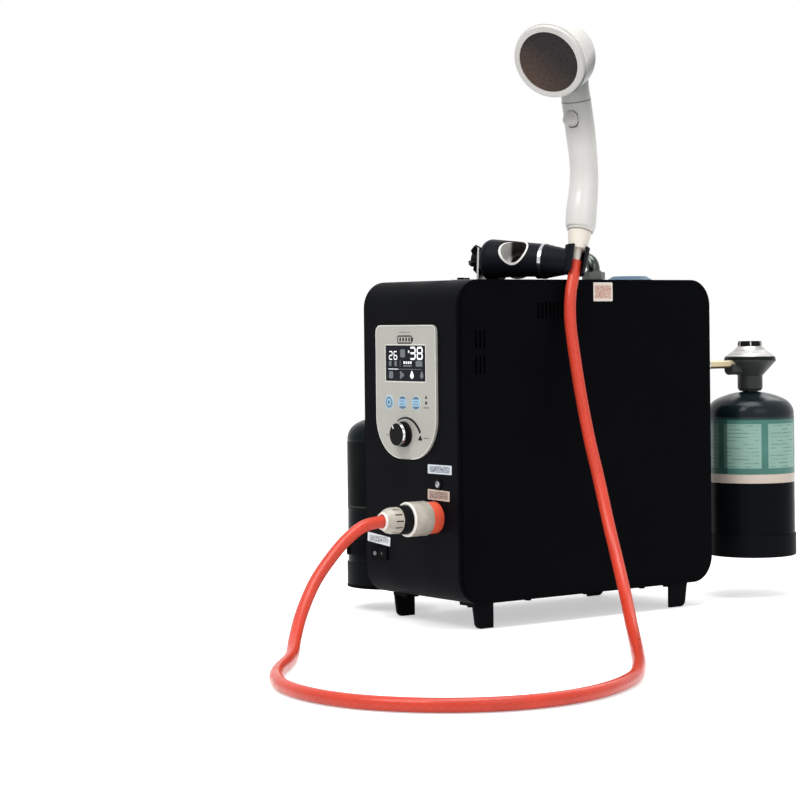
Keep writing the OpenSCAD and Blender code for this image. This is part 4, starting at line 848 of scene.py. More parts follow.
class SHOWER_OT_casing(bpy.types.Operator):
    """Give the casing, its feet and its small metal parts their finishes"""
    bl_idname = "shower.casing"
    bl_label = "Casing finishes"

    def execute(self, context):
        coat = tuple(context.scene.shower_case.coat)
        tape_start = corner_of("inlet_elbow")[0][0] + 0.016
        dress(finish("case_steel", coated_steel, coat, 0.44), "casing_wrap", "feet")
        # painted shade: the side panels take the casing's coat darkened, so the sides look darker than the
        # front
        dress(finish("panel_steel", coated_steel, shade(coat, 0.62), 0.4, 0.012),
              "side_panel_right", "side_panel_left")
        dress(finish("dark_steel", coated_steel, shade(coat, 0.7), 0.5),
              "screws", "cylinder_clip", "cylinder_tray", "switch_frame")
        dress(finish(*BLACK_PLASTIC), "holder_knob", "fan_wheel")
        dress(finish("rocker_plastic", coated_steel, srgb(13, 13, 15), 0.4), "rocker")
        dress(finish("bright_steel", brushed_metal, srgb(188, 190, 192), 0.3),
              "potentiometer", "knob_shaft", "exhaust_duct", "burner", "fan_housing")
        dress(finish("socket_ring", socket_paint, srgb(18, 18, 20), srgb(176, 178, 182),
                     middle_of("dc_socket")), "dc_socket")
        # painted reflection: the plated elbow and its nut are darkened to stand for the dark surroundings
        # they reflect
        dress(finish("plated_pipe", taped_pipe, srgb(74, 78, 74), srgb(214, 206, 188), tape_start),
              "inlet_elbow")
        dress(finish("plated_nut", bright_metal, srgb(92, 96, 92), 0.26), "inlet_nut")
        # painted reflection: the exhaust cap's blue-grey stands for the sky reflected on its dark metal
        dress(finish("blue_grey_metal", coated_steel, srgb(72, 98, 120), 0.42, 0.2), "exhaust_cap")
        dress(finish("brass", brushed_metal, srgb(196, 160, 96), 0.28, (1, 8, 1), 60),
              "outlet_fitting", "gas_valve")
        dress(finish("copper", brushed_metal, srgb(190, 118, 82), 0.3),
              "heat_exchanger", "gas_tube", "inlet_pipe", "outlet_pipe")
        dress(finish("battery_wrap", moulded_plastic, srgb(52, 96, 158), 0.35), "battery_pack")
        dress(finish("circuit_board", moulded_plastic, srgb(34, 88, 56), 0.5), "control_board")
        return {"FINISHED"}


# Profiles of the click connector: radius and distance from the casing's front, in millimetres
COLLAR = [(15.25, 0.9), (15.9, 0.8), (16.3, 0.95), (16.5, 1.4), (16.5, 16.8), (15.25, 16.8)]
CONNECTOR = [(17.0, 13.7), (17.5, 13.85), (17.75, 14.4), (17.75, 36.4), (17.6, 37.4), (17.1, 38.0),
             (16.4, 38.2), (15.4, 38.2), (14.9, 37.8), (12.0, 37.0), (8.1, 37.0), (8.1, 2.9),
             (12.5, 2.9), (12.5, 21.5), (16.75, 21.5), (16.75, 14.0)]
BLACK_RING = [(14.0, 36.6), (14.8, 37.4), (14.8, 47.6), (14.2, 48.4), (8.5, 48.4), (8.5, 36.6)]
# of the hose nut, with the depth of its notches
HOSE_NUT = [(12.7, 48.3, 0), (13.3, 48.8, 0), (13.5, 49.6, 0), (13.5, 50.2, 0.7), (13.5, 50.9, 1.3),
            (13.5, 54, 1.3), (13.5, 57, 1.3), (13.3, 58.6, 1.1), (12.9, 60.2, 0.6), (12.2, 62.2, 0),
            (11.0, 64.2, 0), (9.5, 66.1, 0), (8.9, 66.9, 0), (9.0, 67.5, 0), (8.8, 68.1, 0),
            (8.2, 68.4, 0), (7.2, 68.4, 0), (6.8, 68.0, 0), (6.3, 66.5, 0), (6.3, 48.3, 0)]
NUT_NOTCHES = (12, 0.13)            # their number, and their half width as a share of the pitch


class SHOWER_OT_connector(bpy.types.Operator):
    """Make the click connector: its sliding collar, body, black ring and slotted hose nut"""
    bl_idname = "shower.connector"
    bl_label = "Click connector"

    def execute(self, context):
        grey = srgb(184, 178, 166)
        mid = middle_of("outlet_fitting")
        orange = finish("orange_plastic", moulded_plastic, srgb(252, 100, 72), 0.3, 900, 0.05, 0.05, 0.05)
        # painted highlight at the body's front rim and at the nut's outer rim
        shell = finish("grey_plastic", connector_plastic, grey, FRONT_Y - 0.0366)
        notch = (mid, 0.0133, FRONT_Y - 0.0585)
        cap = finish("nut_plastic", connector_plastic, grey, FRONT_Y - 0.0666, notch)
        black = finish(*BLACK_PLASTIC)
        rows = (("collar_shell", COLLAR, None, orange, "connector_collar", "collar_body", "orange_plastic"),
                ("connector_shell", CONNECTOR, None, shell, "connector_body", BODY, "grey_plastic"),
                ("connector_black_ring", BLACK_RING, None, black, "connector_ring", BODY, "black_plastic"),
                ("hose_nut_cap", HOSE_NUT, NUT_NOTCHES, cap, "connector_nut", BODY, "grey_plastic"))
        for name, profile, notches, material, node, carrier, slot in rows:
            piece = turned_piece(name, profile, 180, (mid[0], FRONT_Y, mid[2]), material, 35, hollow=True,
                                 notches=notches)
            settle(piece, carrier, node)
        return {"FINISHED"}


# Profiles of the knob: radius and height in millimetres, with the depth of the grip's notches
GRIP = [(0.001, 0, 0), (13.2, 0, 0), (13.5, 0.4, 0), (13.5, 1.6, 0), (13.1, 2.1, 0.2), (12.95, 2.6, 0.5),
        (12.8, 5, 0.5), (12.7, 7.4, 0.5), (12.6, 7.6, 0.1), (11.2, 7.7, 0), (11.2, 10.2, 0),
        (11.7, 10.25, 0), (11.5, 10.6, 0), (0.001, 10.7, 0)]
GRIP_NOTCHES = (30, 0.3)
TRIM = [(11.25, 7.7), (12.75, 7.65), (12.72, 8.1), (11.85, 10.15), (11.25, 10.2)]

DIGIT_BARS = {2: "abged", 3: "abgcd", 6: "afgedc", 8: "abcdefg"}    # the lit bars, from a at the top


class SHOWER_OT_control_face(bpy.types.Operator):
    """Make the control plate's print, the display's picture, the buttons' print and the knob's finish"""
    bl_idname = "shower.control_face"
    bl_label = "Control face"

    def execute(self, context):
        s = context.scene.shower_case
        dress(finish("control_face", moulded_plastic, tuple(s.plate), 0.4, 1600, 0.05, 0.1, 0.03),
              "control_plate")
        dress(finish("display_glass", moulded_plastic, srgb(24, 27, 35), 0.14, 400, 0.0, 0.05), "display")
        self.make_knob()
        places = [middle_of(f"button_{k}") for k in (1, 2, 3)]
        for k, mid, kind in zip((1, 2, 3), places, ("ring", "caps", "caps")):
            dress(finish(f"button_print_{k}", push_button_paint, tuple(s.button), srgb(60, 96, 126), mid[0],
                         mid[2], kind), f"button_{k}")
        # battery mark: a rounded frame with a tip and four cells
        battery = frame_outline(rounded_outline(-4.9, 297.8, 25, 8.6, 1.8),
                                rounded_outline(-4.9, 297.8, 22.4, 6.0, 1.0))
        cells = [rounded_outline(-12.4 + 5.2 * i, 297.8, 2.6, 4.0, 0.6) for i in range(4)]
        tip = rounded_outline(8.9, 297.8, 2.0, 4.4, 0.7)
        # arc above the knob, the flame beside it and the two lamps
        arc = arc_band(-4.6, 187.6, 28.6, 119, 28, (1.2, 3.4))
        flame = [(17.8, 193.3), (23.4, 193.3), (24.0, 194.4), (21.4, 198.3), (20.2, 198.3), (17.2, 194.4)]
        lamps = [[(29.4, 236.8), (33.4, 236.8), (31.4, 240.6)], arc_points(31.4, 232.3, 1.7, 0, 345, 24)]
        rules = [rounded_outline(*rule) for rule in (
            (-4.5, 305.4, 19, 0.7, 0.3), (31.4, 227.4, 9.5, 1.2, 0.4), (31.2, 196.0, 9, 1.1, 0.4),
            (-36.5, 197.6, 4.5, 0.9, 0.3))]
        # pale lines along the plate's edge, a painted highlight on its bevel, and round the display
        edge = np.vstack([self.plate_outline(0.2), self.plate_outline(1.1)[::-1]])
        low, high = corner_of("display")
        x, _, z = (middle_of("display") - CASE) * 1000
        w, _, h = (high - low) * 1000
        display_edge = frame_outline(rounded_outline(x, z, w + 2.6, h + 2.6, 2.2),
                                     rounded_outline(x, z, w + 0.8, h + 0.8, 1.4))
        rings = [arc_points(*((mid - CASE)[[0, 2]] * 1000), 7.8, 0, 354, 60) for mid in places]
        black = ink("plate_ink", srgb(34, 35, 38))
        faint = ink("plate_faint_ink", srgb(118, 116, 112))
        # painted highlight: the pale ink of the plate's edge line
        pale = ink("plate_edge", srgb(226, 226, 220), 0.36, 0.03)
        blue = ink("button_halo", srgb(196, 206, 210), 0.4, 0.03)
        for name, outlines, material, thick, slot in (
                ("plate_print", [battery, *cells, tip, arc, flame, *lamps], black, 0.12, "black_plastic"),
                ("plate_rules", rules, faint, 0.12, "black_plastic"),
                ("plate_pale_edge", [edge, display_edge], pale, 0.1, "control_face"),
                ("button_halos", rings, blue, 0.05, "control_face")):
            settle(on_front(name, outlines, material, thick), BODY)
        self.make_display()
        return {"FINISHED"}

    @staticmethod
    def plate_outline(inset):
        """Outline of the control plate, moved inwards: a round foot and two upper corners."""
        left, right, bottom, top = front_edges("control_plate")
        small, large = 8, 43.5
        return np.vstack([arc_points(right - large, bottom + large, large - inset, -90, 0, 24),
                          arc_points(right - small, top - small, small - inset, 0, 90, 10),
                          arc_points(left + small, top - small, small - inset, 90, 180, 10),
                          arc_points(left + large, bottom + large, large - inset, 180, 270, 24)])

    @staticmethod
    def make_knob():
        """The knob: a ribbed grip with a flat face, a bevelled bright trim behind it and a white mark."""
        x, _, z = middle_of("knob")
        foot = corner_of("knob")[1][1]
        black = finish("knob_plastic", moulded_plastic, srgb(17, 16, 18), 0.34, 1200, 0.08)
        grip = turned_piece("knob_grip", GRIP, 240, (x, foot, z), black, 30, notches=GRIP_NOTCHES)
        trim = turned_piece("knob_trim", TRIM, 120, (x, foot, z), finish(*CHROME), 40, hollow=True)
        bar = turned_outline(rounded_outline(9.6, 0, 4.4, 1.6, 0.5), 126)
        mark = flat_piece("knob_mark", [bar], (x, foot - GRIP[-1][1] / 1000, z), (1, 0, 0), (0, 0, 1), 0.12,
                          ink("knob_mark_white", srgb(226, 228, 230), 0.4, 0.03))
        settle(grip, "knob_body", "knob")
        settle(trim, "knob_body", "knob_ring")
        settle(mark, "knob_body")

    @staticmethod
    def bar_digit(digit, cx, cz, w, h, t):
        """The lit bars of one digit of seven bars, as outlines; t is the bars' thickness."""
        x, z = w / 2 - t / 2, h / 2 - t / 2
        flat, tall = (w - 1.25 * t, t), (t, h / 2 - 1.1 * t)
        places = {"a": (0, z, flat), "g": (0, 0, flat), "d": (0, -z, flat), "f": (-x, z / 2, tall),
                  "b": (x, z / 2, tall), "e": (-x, -z / 2, tall), "c": (x, -z / 2, tall)}
        return [rounded_outline(cx + dx, cz + dz, *size, 0.3 * t, 3)
                for dx, dz, size in (places[k] for k in DIGIT_BARS[digit])]

    def make_display(self):
        """The display's marks: places are shares of its width and height, sizes mostly millimetres."""
        left, right, bottom, top = front_edges("display")
        w, h = right - left, top - bottom

        def at(across, up):
            return left + w * across, bottom + h * up

        def bars(*rows):
            return [rounded_outline(*at(across, up), *size) for across, up, *size in rows]

        lit, dim = [], []
        for k, digit in enumerate((2, 6)):
            lit += self.bar_digit(digit, *at(0.125 + 0.12 * k, 0.72), 0.09 * w, 0.25 * h, 1.15)
        for k, digit in enumerate((3, 8)):
            lit += self.bar_digit(digit, *at(0.685 + 0.175 * k, 0.785), 0.15 * w, 0.37 * h, 2.0)
        lit += bars((0.585, 0.83, 2.2, 2.6, 0.6),
                    *[(0.47 + 0.055 * k, 0.52, 2.6, 2.6, 0.5) for k in range(4)],
                    (0.19, 0.335, 0.26 * w, 0.7, 0.3))
        lit.append(drop_outline(*at(0.66, 0.155), 3.1, 5.2))
        dim += bars((0.11, 0.49, 4.0, 5.4, 0.8), (0.25, 0.49, 4.0, 5.4, 0.8), (0.84, 0.49, 11.5, 5.8, 1.0),
                    (0.55, 0.43, 15, 1.5, 0.5), (0.6, 0.335, 0.6 * w, 0.5, 0.2), (0.365, 0.5, 0.7, 7.5, 0.3),
                    (0.43, 0.78, 8.5, 8.5, 1.6), (0.13, 0.17, 7.4, 7.6, 2.0))
        # fan mark: three blades round its middle
        turn = np.radians(np.arange(0, 360, 6))
        blade = (1.6 + 2.6 * np.abs(np.cos(1.5 * turn)) ** 0.8)[:, None]
        dim.append(at(0.4, 0.17) + blade * np.stack([np.cos(turn), np.sin(turn)], 1))
        dim.append(drop_outline(*at(0.905, 0.155), 2.9, 4.9))
        white = finish("display_lit", lit_mark, srgb(240, 243, 246), 0.35)
        grey = finish("display_dim", lit_mark, srgb(96, 102, 110), 0.05)
        for name, shapes, material in (("display_lit_marks", lit, white), ("display_dim_marks", dim, grey)):
            made = on_front(name, shapes, material, 0.06, corner_of("display")[0][1])
            settle(made, BODY)


PAPER = 0.22                        # thickness of the stickers, in millimetres
PIN_FOOT = 0.0082                   # of the socket's pin, behind the casing's front
BARREL = [(0.001, -0.6), (2.6, -0.6), (2.6, 0.9), (2.3, 1.2), (0.001, 1.3)]
VALLEY = (-0.0566, -0.0012)         # of the rocker, from the casing's middle and front
LEAN = math.radians(14)             # of the rocker's raised half at rest


class SHOWER_OT_labels(bpy.types.Operator):
    """Make the bare stickers of the front and of the right side, the socket's pin and the switch's marks"""
    bl_idname = "shower.labels"
    bl_label = "Labels"

    def execute(self, context):
        upper = tuple(context.scene.shower_case.label)
        for name, (cx, cz, w, h), turn, color, block in (
                ("label_upper", (50.0, 164.5, 40.0, 9.4), 0.0, upper, srgb(86, 98, 112)),
                ("label_lower", (47.8, 138.0, 36.5, 10.6), -1.5, srgb(199, 184, 172), srgb(100, 80, 68)),
                ("label_switch", (-57.5, 85.8, 40.5, 9.6), -5.0, srgb(220, 223, 226), srgb(120, 124, 130))):
            outline = turned_outline(rounded_outline(0, 0, w, h, 0.8), turn) + (cx, cz)
            place = (CASE[0] + cx / 1000, cz / 1000, w / 1000, h / 1000)
            paper = finish(name + "_paper", printed_paper, color, block, *place)
            settle(on_front(name, [outline], paper, PAPER, FRONT_Y), BODY)
        cy, cz, w, h = 19.5, 346.0, 27.0, 20.0
        paper = finish("label_side_paper", printed_paper, srgb(228, 217, 206), srgb(186, 128, 112),
                       CASE[1] + cy / 1000, cz / 1000, w / 1000, h / 1000, "yz")
        sticker = flat_piece("label_side", [rounded_outline(cy, cz, w, h, 1.0)], (SIDE_X, CASE[1], 0),
                             (0, 1, 0), (0, 0, 1), PAPER, paper, 0.02)
        settle(sticker, BODY)
        self.fill_socket()
        self.mark_rocker()
        return {"FINISHED"}

    @staticmethod
    def fill_socket():
        """The power socket's centre pin with a round end, and its barrel's face with a slit."""
        x, _, z = middle_of("dc_socket")
        nickel = finish("nickel", bright_metal, srgb(206, 208, 212), 0.18)
        rod = [(0.0001, 0), (1.0, 0), (1.0, 6.0), *arc_points(0, 6.0, 1.0, 0, 88, 8)]
        pin = turned_piece("socket_pin", rod, 24, (x, FRONT_Y + PIN_FOOT, z), nickel, 40)
        barrel = turned_piece("socket_barrel", BARREL, 40, (x, FRONT_Y, z), nickel, 40)
        slit = turned_outline(rounded_outline(0, 0, 4.6, 1.3, 0.3), -48)
        slot = flat_piece("socket_slit", [slit], (x, FRONT_Y - BARREL[-1][1] / 1000, z), (1, 0, 0), (0, 0, 1),
                          0.08, finish(*BLACK_PLASTIC))
        for piece, name in ((pin, "bright_steel"), (barrel, "bright_steel"), (slot, "black_plastic")):
            settle(piece, BODY)

    @staticmethod
    def mark_rocker():
        """A ring on the rocker's raised half, which leans at rest, and a bar on its other half."""
        valley = (CASE[0] + VALLEY[0], FRONT_Y + VALLEY[1], 0)
        grey = finish("switch_mark", moulded_plastic, srgb(104, 107, 110), 0.4)
        raised = (math.cos(LEAN), math.sin(LEAN), 0)
        for name, outline, along in (
                ("switch_ring_mark", arc_points(-5.4, 70.6, 2.3, 0, 345, 24), raised),
                ("switch_bar_mark", rounded_outline(5.2, 71, 1.2, 2.4, 0.4), (1, 0, 0))):
            mark = flat_piece(name, [outline], valley, along, (0, 0, 1), 0.08, grey, 0.03)
            settle(mark, "rocker_body")


# Holder and handset

BUSH = (25.4, -50.0, 380.2)         # the rail bush's middle, from the casing's middle
BUSH_AXIS = (0.3834, -0.6637, 0.6422)
# Stations of the handle and of the neck: back from the cup's middle, up, and radius, in millimetres
HANDLE_LINE = [[7.37, 32.53, 13.4], [9.1, 38, 15.9], [11.6, 54, 16.3], [16.4, 74.5, 15.5], [18.6, 94.6, 15],
               [16.4, 114.6, 15.1], [10, 141.7, 15.7], [2.2, 170, 15.5]]
NECK_LINE = [[2.1, 170.4, 15.4], [-1.1, 182, 15.2], [-4, 195, 15.4], [-11, 208, 16], [-24, 217, 17]]
SEAM = [(14.8, -0.9), (15.65, -0.7), (15.65, 0.5), (14.8, 0.7)]     # the thin grey ring between the two
SEAM_AT = (2.1, 170.3)
HEAD_AT = (-60.2, 204.6)            # the spray face's middle
HEAD_TILT = math.radians(26)        # of the spray face's direction, down from level
PAUSE_AT = (-9.2, 149)              # the pause button's seat
PAUSE_LIFT = math.radians(72)       # of its axis from straight up
PAUSE_SEAT = [(6.8, -6.7), (6.8, 0.1), (8.3, 0.1), (8.3, 20)]


def head_profile():
    """The head's drum: a flat front with a round edge, a side, a round shoulder and a softly crowned back."""
    r, shoulder, edge, crown = 40.9, 7.0, 1.6, 54
    front, back = 5.2, 33.6
    x = np.linspace(r - shoulder, 0.001, 16)
    return np.vstack([[(0.001, front)], arc_points(r - edge, front + edge, edge, -90, 0, 6),
                      arc_points(r - shoulder, back - shoulder, shoulder, 0, 62, 10),
                      np.stack([x, back + 11 - crown + np.sqrt(crown ** 2 - x ** 2)], 1)])


class SHOWER_OT_handset(bpy.types.Operator):
    """Make the handset's handle and head, and finish the holder and the hose nut"""
    bl_idname = "shower.handset"
    bl_label = "Handset"

    def execute(self, context):
        s = context.scene.shower_handset
        head_mid = handset_point(*HEAD_AT)
        out = AHEAD * math.cos(HEAD_TILT) - np.array([0, 0, math.sin(HEAD_TILT)])
        # painted shade: the handle greys towards the neck under the head, and the drum towards its lower back
        # side
        shell = finish("white_plastic", shaded_shell, tuple(s.shell), srgb(112, 116, 114),
                       handset_point(0, 0), (0, 0, 1), 0.12, 0.19)
        drum = finish("drum_plastic", shaded_shell, tuple(s.shell), srgb(92, 95, 95), head_mid,
                      (0.5, 0.68, -0.53), 0.032, 0.0395)
        dress(finish("holder_plastic", moulded_plastic, srgb(19, 21, 27), 0.42, 900, 0.12),
              "holder_body", "holder_cup")
        # the bush's bore carries painted shade, with painted light on one side
        dress(finish("bush_plastic", bush_paint, srgb(242, 240, 236), srgb(60, 55, 52), at_case(*BUSH),
                     BUSH_AXIS, 0.0146), "holder_bush")
        dress(finish(*CHROME), "holder_ring")
        dress(finish("tab_steel", brushed_metal, srgb(190, 190, 188), 0.3), "holder_tab")
        dress(finish("cream_plastic", moulded_plastic, tuple(s.nut), 0.34, 700, 0.08, 0.15), "hose_nut")
        dress(finish("head_ring_plastic", moulded_plastic, shade(s.shell, 0.84), 0.34, 700, 0.05, 0.2),
              "handset_ring")
        # painted shade: the pause button is the shell's colour darkened
        dress(finish("button_plastic", moulded_plastic, shade(s.shell, 0.66), 0.36, 900, 0.06),
              "handset_button")
        dress(finish("spray_face", spray_disc_paint, tuple(s.face), head_mid, ACROSS, np.cross(ACROSS, out)),
              "spray_plate")
        handle = self.limb("handle_shell", HANDLE_LINE, shell)
        press = AHEAD * math.sin(PAUSE_LIFT) + np.array([0, 0, math.cos(PAUSE_LIFT)])
        seat = np.array(PAUSE_SEAT) / 1000
        self.cut(handle, *turned_surface(seat, 48, handset_point(*PAUSE_AT), press, ACROSS))
        neck = self.limb("neck_shell", NECK_LINE, shell)
        lean = handset_point(*NECK_LINE[1][:2]) - handset_point(*HANDLE_LINE[-1][:2])
        grey = finish("seam_plastic", moulded_plastic, srgb(100, 103, 102))
        seam = turned_piece("neck_seam", SEAM, 96, handset_point(*SEAM_AT), grey, 30, lean, ACROSS)
        head = turned_piece("head_shell", head_profile(), 128, head_mid, drum, 38, -out, ACROSS)
        settle(handle, CUP_BODY, "handset_handle")
        settle(neck, CUP_BODY)
        settle(head, CUP_BODY, "handset_head")
        settle(seam, CUP_BODY)
        return {"FINISHED"}

    @staticmethod
    def cut(obj, points, faces):
        """Take a closed form out of a piece, with the result kept in its mesh."""
        tool = make_piece("seat_tool", points, faces, obj.data.materials[0])
        step = obj.modifiers.new("seat", "BOOLEAN")
        step.operation = "DIFFERENCE"
        step.solver = "EXACT"
        step.object = tool
        seen = obj.evaluated_get(bpy.context.evaluated_depsgraph_get())
        mesh = bpy.data.meshes.new_from_object(seen)
        obj.modifiers.clear()
        obj.data = mesh
        bpy.data.objects.remove(tool)

    @staticmethod
    def limb(name, stations, material):
        """A round limb: circles along a smooth curve through stations of back, up and radius."""
        curve = smooth_path(stations, 10)
        path = np.array([handset_point(b, u) for b, u, _ in curve])
        points, faces, uv = tube_surface(path, curve[:, 2] / 1000, 96, ACROSS)
        return make_piece(name, points, faces, material, uv=uv, sharp=40)


# Gas side

BAND = (0.0819, 0.1559)             # the printed band's edges, above the cylinder's bottom
BAND_SIDES = 160


class SHOWER_OT_gas(bpy.types.Operator):
    """Finish the gas cylinders, their printed bands, the regulator and the pipe"""
    bl_idname = "shower.gas"
    bl_label = "Gas side"

    def execute(self, context):
        s = context.scene.shower_gas
        # painted shade: the spare cylinder, standing in shadow, takes the enamel darkened to 0.6
        for node, tone, gleam in (("gas_cylinder", 1.0, 0.16), ("spare_cylinder", 0.6, 0.05)):
            split = corner_of(node)[0][2] + BAND[0]
            enamel = shade(s.enamel, tone)
            dress(finish(node + "_steel", gloss_enamel, enamel, srgb(13, 16, 19), split, gleam), node)
        dress(finish("foot_plastic", coated_steel, srgb(16, 18, 21), 0.4),
              "gas_cylinder_foot", "spare_cylinder_foot")
        dress(finish("cap_plastic", moulded_plastic, srgb(26, 27, 30), 0.44), "spare_valve_cap")
        dress(finish("regulator_casting", coated_steel, srgb(60, 63, 62), 0.4, 0.16), "regulator_body")
        cover = middle_of("regulator_cap")
        dress(finish("silver_metal", cover_metal, srgb(196, 194, 191), srgb(28, 30, 28), cover,
                     corner_of("regulator_cap")[0][2] + 0.0154), "regulator_cap")
        # the pipe's darker underside is painted shade
        dress(finish("pale_pipe", braided_pipe, srgb(226, 210, 172), srgb(104, 84, 62),
                     middle_of("gas_pipe")[2] - 0.001), "gas_pipe")
        dress(finish("clip_wire", bright_metal, srgb(190, 192, 196), 0.2), "pipe_clip")
        band = finish("band_print", cylinder_print, tuple(s.band), tuple(s.panel), srgb(206, 192, 180))
        # painted shade: the spare cylinder's band is a darkened copy of the printed band
        dark = finish("dark_band_print", painted_shade_band_print, srgb(12, 15, 16), srgb(60, 64, 61))
        for node, name, paint in (("gas_cylinder", "gas_band", band), ("spare_cylinder", "spare_band", dark)):
            settle(self.wrap_band(name, node, paint), BODY)
        return {"FINISHED"}

    @staticmethod
    def wrap_band(name, node, material):
        """A printed band round a cylinder: rows of points round the axis, with its upper and lower edges."""
        low, high = corner_of(node)
        mid = (low + high) / 2
        r = (high[0] - low[0]) / 2
        bottom, top = low[2] + BAND[0], low[2] + BAND[1]
        turn = np.linspace(0, 2 * np.pi, BAND_SIDES + 1)[None, :]
        out = r + np.array([0.00005, 0.00025, 0.00025, 0.00005])[:, None]
        height = np.array([bottom, bottom + 0.0002, top - 0.0002, top])[:, None]
        x, y = mid[0] + out * np.cos(turn), mid[1] + out * np.sin(turn)
        grid = np.stack(np.broadcast_arrays(x, y, height), -1)
        uv = np.stack(np.broadcast_arrays(r * turn + 0 * height, height - bottom), -1)
        faces = weave_faces(4, BAND_SIDES + 1, closed=False).tolist()
        return make_piece(name, grid, faces, material, uv=uv.reshape(-1, 2), sharp=40)


# Floor, lamps and camera

FLOOR_Z = -0.0003
FLOOR_HALF = 4
CAMERA_AT = (1897, -1589, 315)      # from the casing's middle on the ground, in millimetres
CAMERA_TURNS = (53.57, -0.30, -0.61)    # yaw, pitch and roll in degrees
SHIFT_Y = -65 / 800                 # of the picture, for the photograph's plain lower margin


def placed(x, y, z, at):
    """The matrix whose columns are three axes and a place."""
    return Matrix([*np.stack([x, y, z, at], 1).tolist(), [0, 0, 0, 1]])


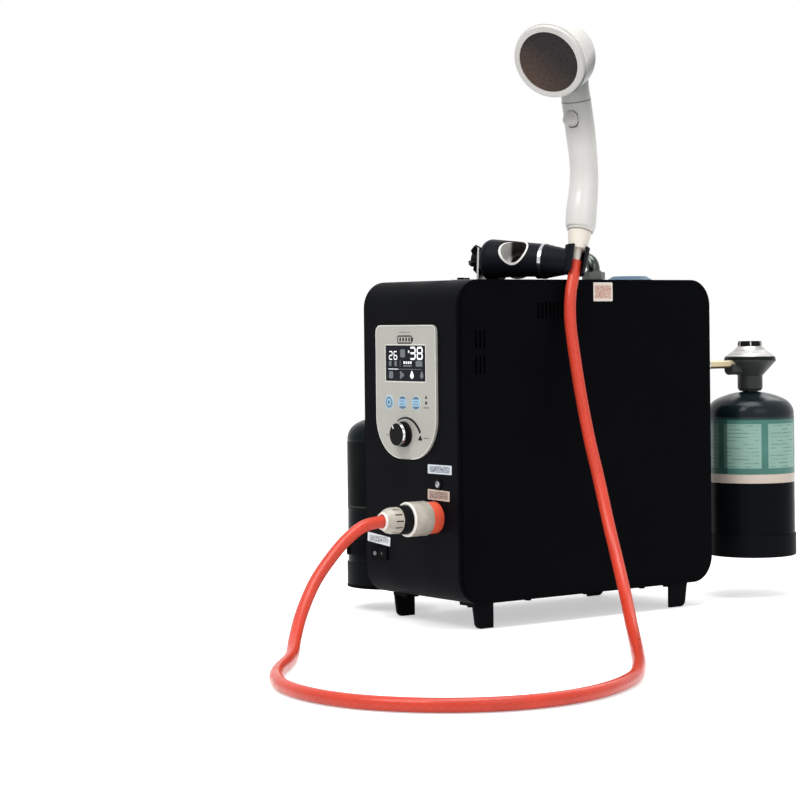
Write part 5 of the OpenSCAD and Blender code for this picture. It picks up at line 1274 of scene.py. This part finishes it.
class SHOWER_OT_stage(bpy.types.Operator):
    """Make the camera, the floor, the sky and the soft lamps"""
    bl_idname = "shower.stage"
    bl_label = "Stage"

    def execute(self, context):
        s = context.scene.shower_stage
        scene = context.scene
        self.make_camera(scene, s.lens)
        scene.view_settings.view_transform = "Standard"
        corners = [(x * FLOOR_HALF, y * FLOOR_HALF, FLOOR_Z) for x, y in ((-1, -1), (1, -1), (1, 1), (-1, 1))]
        floor = make_piece("floor", corners, [[0, 1, 2, 3]], self.floor_paint(tuple(s.floor)), smooth=False)
        self.make_sky(scene, s.world)
        self.make_lamp("key_lamp", (0.5, -1.9, 2.4), (0, -0.05, 0.3), 1.4, 44)
        self.make_lamp("top_lamp", (0.4, -0.1, 2.7), (0.05, 0, 0.3), 1.4, 42)
        self.make_lamp("side_lamp", (2.4, -0.5, 1.5), (0, 0, 0.25), 1.4, 9)
        self.make_lamp("rear_lamp", (-1.2, 1.9, 2.3), (0, 0, 0.3), 1.6, 16)
        return {"FINISHED"}

    @staticmethod
    def make_camera(scene, lens):
        yaw, pitch, roll = (math.radians(a) for a in CAMERA_TURNS)
        ahead = np.array([-math.sin(yaw), math.cos(yaw), 0.0])
        right = np.array([math.cos(yaw), math.sin(yaw), 0.0])
        up = np.array([0.0, 0.0, 1.0])
        look = math.cos(pitch) * ahead + math.sin(pitch) * up
        top = -math.sin(pitch) * ahead + math.cos(pitch) * up
        r = math.cos(roll) * right + math.sin(roll) * top
        t = -math.sin(roll) * right + math.cos(roll) * top
        data = bpy.data.cameras.new("camera")
        data.lens = lens
        data.sensor_width = 36
        data.shift_y = SHIFT_Y
        data.clip_start = 0.05
        camera = bpy.data.objects.new("camera", data)
        camera.matrix_world = placed(r, t, -look, at_case(*CAMERA_AT))
        scene.collection.objects.link(camera)
        scene.camera = camera

    @staticmethod
    def floor_paint(color):
        """Pale floor that looks white to the camera and keeps the object's soft shadow."""
        m = Mix("floor_paint", color, 0.75)
        m.paint(m.tone(color, 0.985, 1.01, 3, 2))
        rays = m.node("LightPath").outputs
        seen = m.math("MAXIMUM", rays["Is Camera Ray"], rays["Is Glossy Ray"])
        seen = m.math("MAXIMUM", seen, rays["Is Transmission Ray"])
        x, y, _ = m.axes()
        rise = m.spread(m.length(x, y), 0.7, 2.2, 0.5, 0.8)
        glow = m.node("Emission")
        glow.inputs["Color"].default_value = (1, 1, 1, 1)
        m.put(glow.inputs["Strength"], m.math("MULTIPLY", seen, rise))
        add = m.node("AddShader")
        m.put(add.inputs[0], m.bsdf.outputs[0])
        m.put(add.inputs[1], glow.outputs[0])
        m.put(m.tree.nodes["Material Output"].inputs["Surface"], add.outputs[0])
        return m.mat

    @staticmethod
    def make_sky(scene, strength):
        """A white sky: full to the camera, mirrors and glass, and of the given strength as light."""
        world = bpy.data.worlds.new("sky")
        world.use_nodes = True
        tree = world.node_tree
        back = tree.nodes["Background"]
        rays = tree.nodes.new("ShaderNodeLightPath")
        seen = rays.outputs["Is Camera Ray"]
        for ray in ("Is Glossy Ray", "Is Transmission Ray"):
            either = tree.nodes.new("ShaderNodeMath")
            either.operation = "MAXIMUM"
            tree.links.new(seen, either.inputs[0])
            tree.links.new(rays.outputs[ray], either.inputs[1])
            seen = either.outputs[0]
        level = tree.nodes.new("ShaderNodeMapRange")
        tree.links.new(seen, level.inputs["Value"])
        level.inputs["To Min"].default_value = strength
        level.inputs["To Max"].default_value = 1.0
        back.inputs["Color"].default_value = (1, 1, 1, 1)
        tree.links.new(level.outputs[0], back.inputs["Strength"])
        scene.world = world

    @staticmethod
    def make_lamp(name, place, aim, size, power):
        """A square lamp at a place, turned towards a point."""
        data = bpy.data.lights.new(name, "AREA")
        data.shape = "SQUARE"
        data.size = size
        data.energy = power
        lamp = bpy.data.objects.new(name, data)
        away = np.array(place, float) - np.array(aim, float)
        away /= np.linalg.norm(away)
        side = np.cross((0, 0, 1), away)
        side /= np.linalg.norm(side)
        top = np.cross(away, side)
        lamp.matrix_world = placed(side, top, away, place)
        bpy.context.scene.collection.objects.link(lamp)


OPERATORS = (SHOWER_OT_stage, SHOWER_OT_hose, SHOWER_OT_casing, SHOWER_OT_connector, SHOWER_OT_control_face,
             SHOWER_OT_labels, SHOWER_OT_handset, SHOWER_OT_gas)


class SHOWER_PT_panel(bpy.types.Panel):
    """Sizes, colours and pieces of the heated shower"""
    bl_label = "Heated shower"
    bl_idname = "SHOWER_PT_panel"
    bl_space_type = "VIEW_3D"
    bl_region_type = "UI"
    bl_category = "Shower"

    def draw(self, context):
        for key, group in SETTINGS.items():
            box = self.layout.box()
            for name in group.__annotations__:
                box.prop(getattr(context.scene, key), name)
        for operator in OPERATORS:
            self.layout.operator(operator.bl_idname)


def register():
    for cls in (*SETTINGS.values(), *OPERATORS, SHOWER_PT_panel):
        bpy.utils.register_class(cls)
    for key, group in SETTINGS.items():
        setattr(bpy.types.Scene, key, PointerProperty(type=group))


def unregister():
    for key in SETTINGS:
        delattr(bpy.types.Scene, key)
    for cls in reversed((*SETTINGS.values(), *OPERATORS, SHOWER_PT_panel)):
        bpy.utils.unregister_class(cls)


def main():
    register()
    bpy.ops.shower.stage()
    bpy.ops.shower.hose()
    bpy.ops.shower.casing()
    bpy.ops.shower.connector()
    bpy.ops.shower.control_face()
    bpy.ops.shower.labels()
    bpy.ops.shower.handset()
    bpy.ops.shower.gas()


if __name__ == "__main__":
    main()
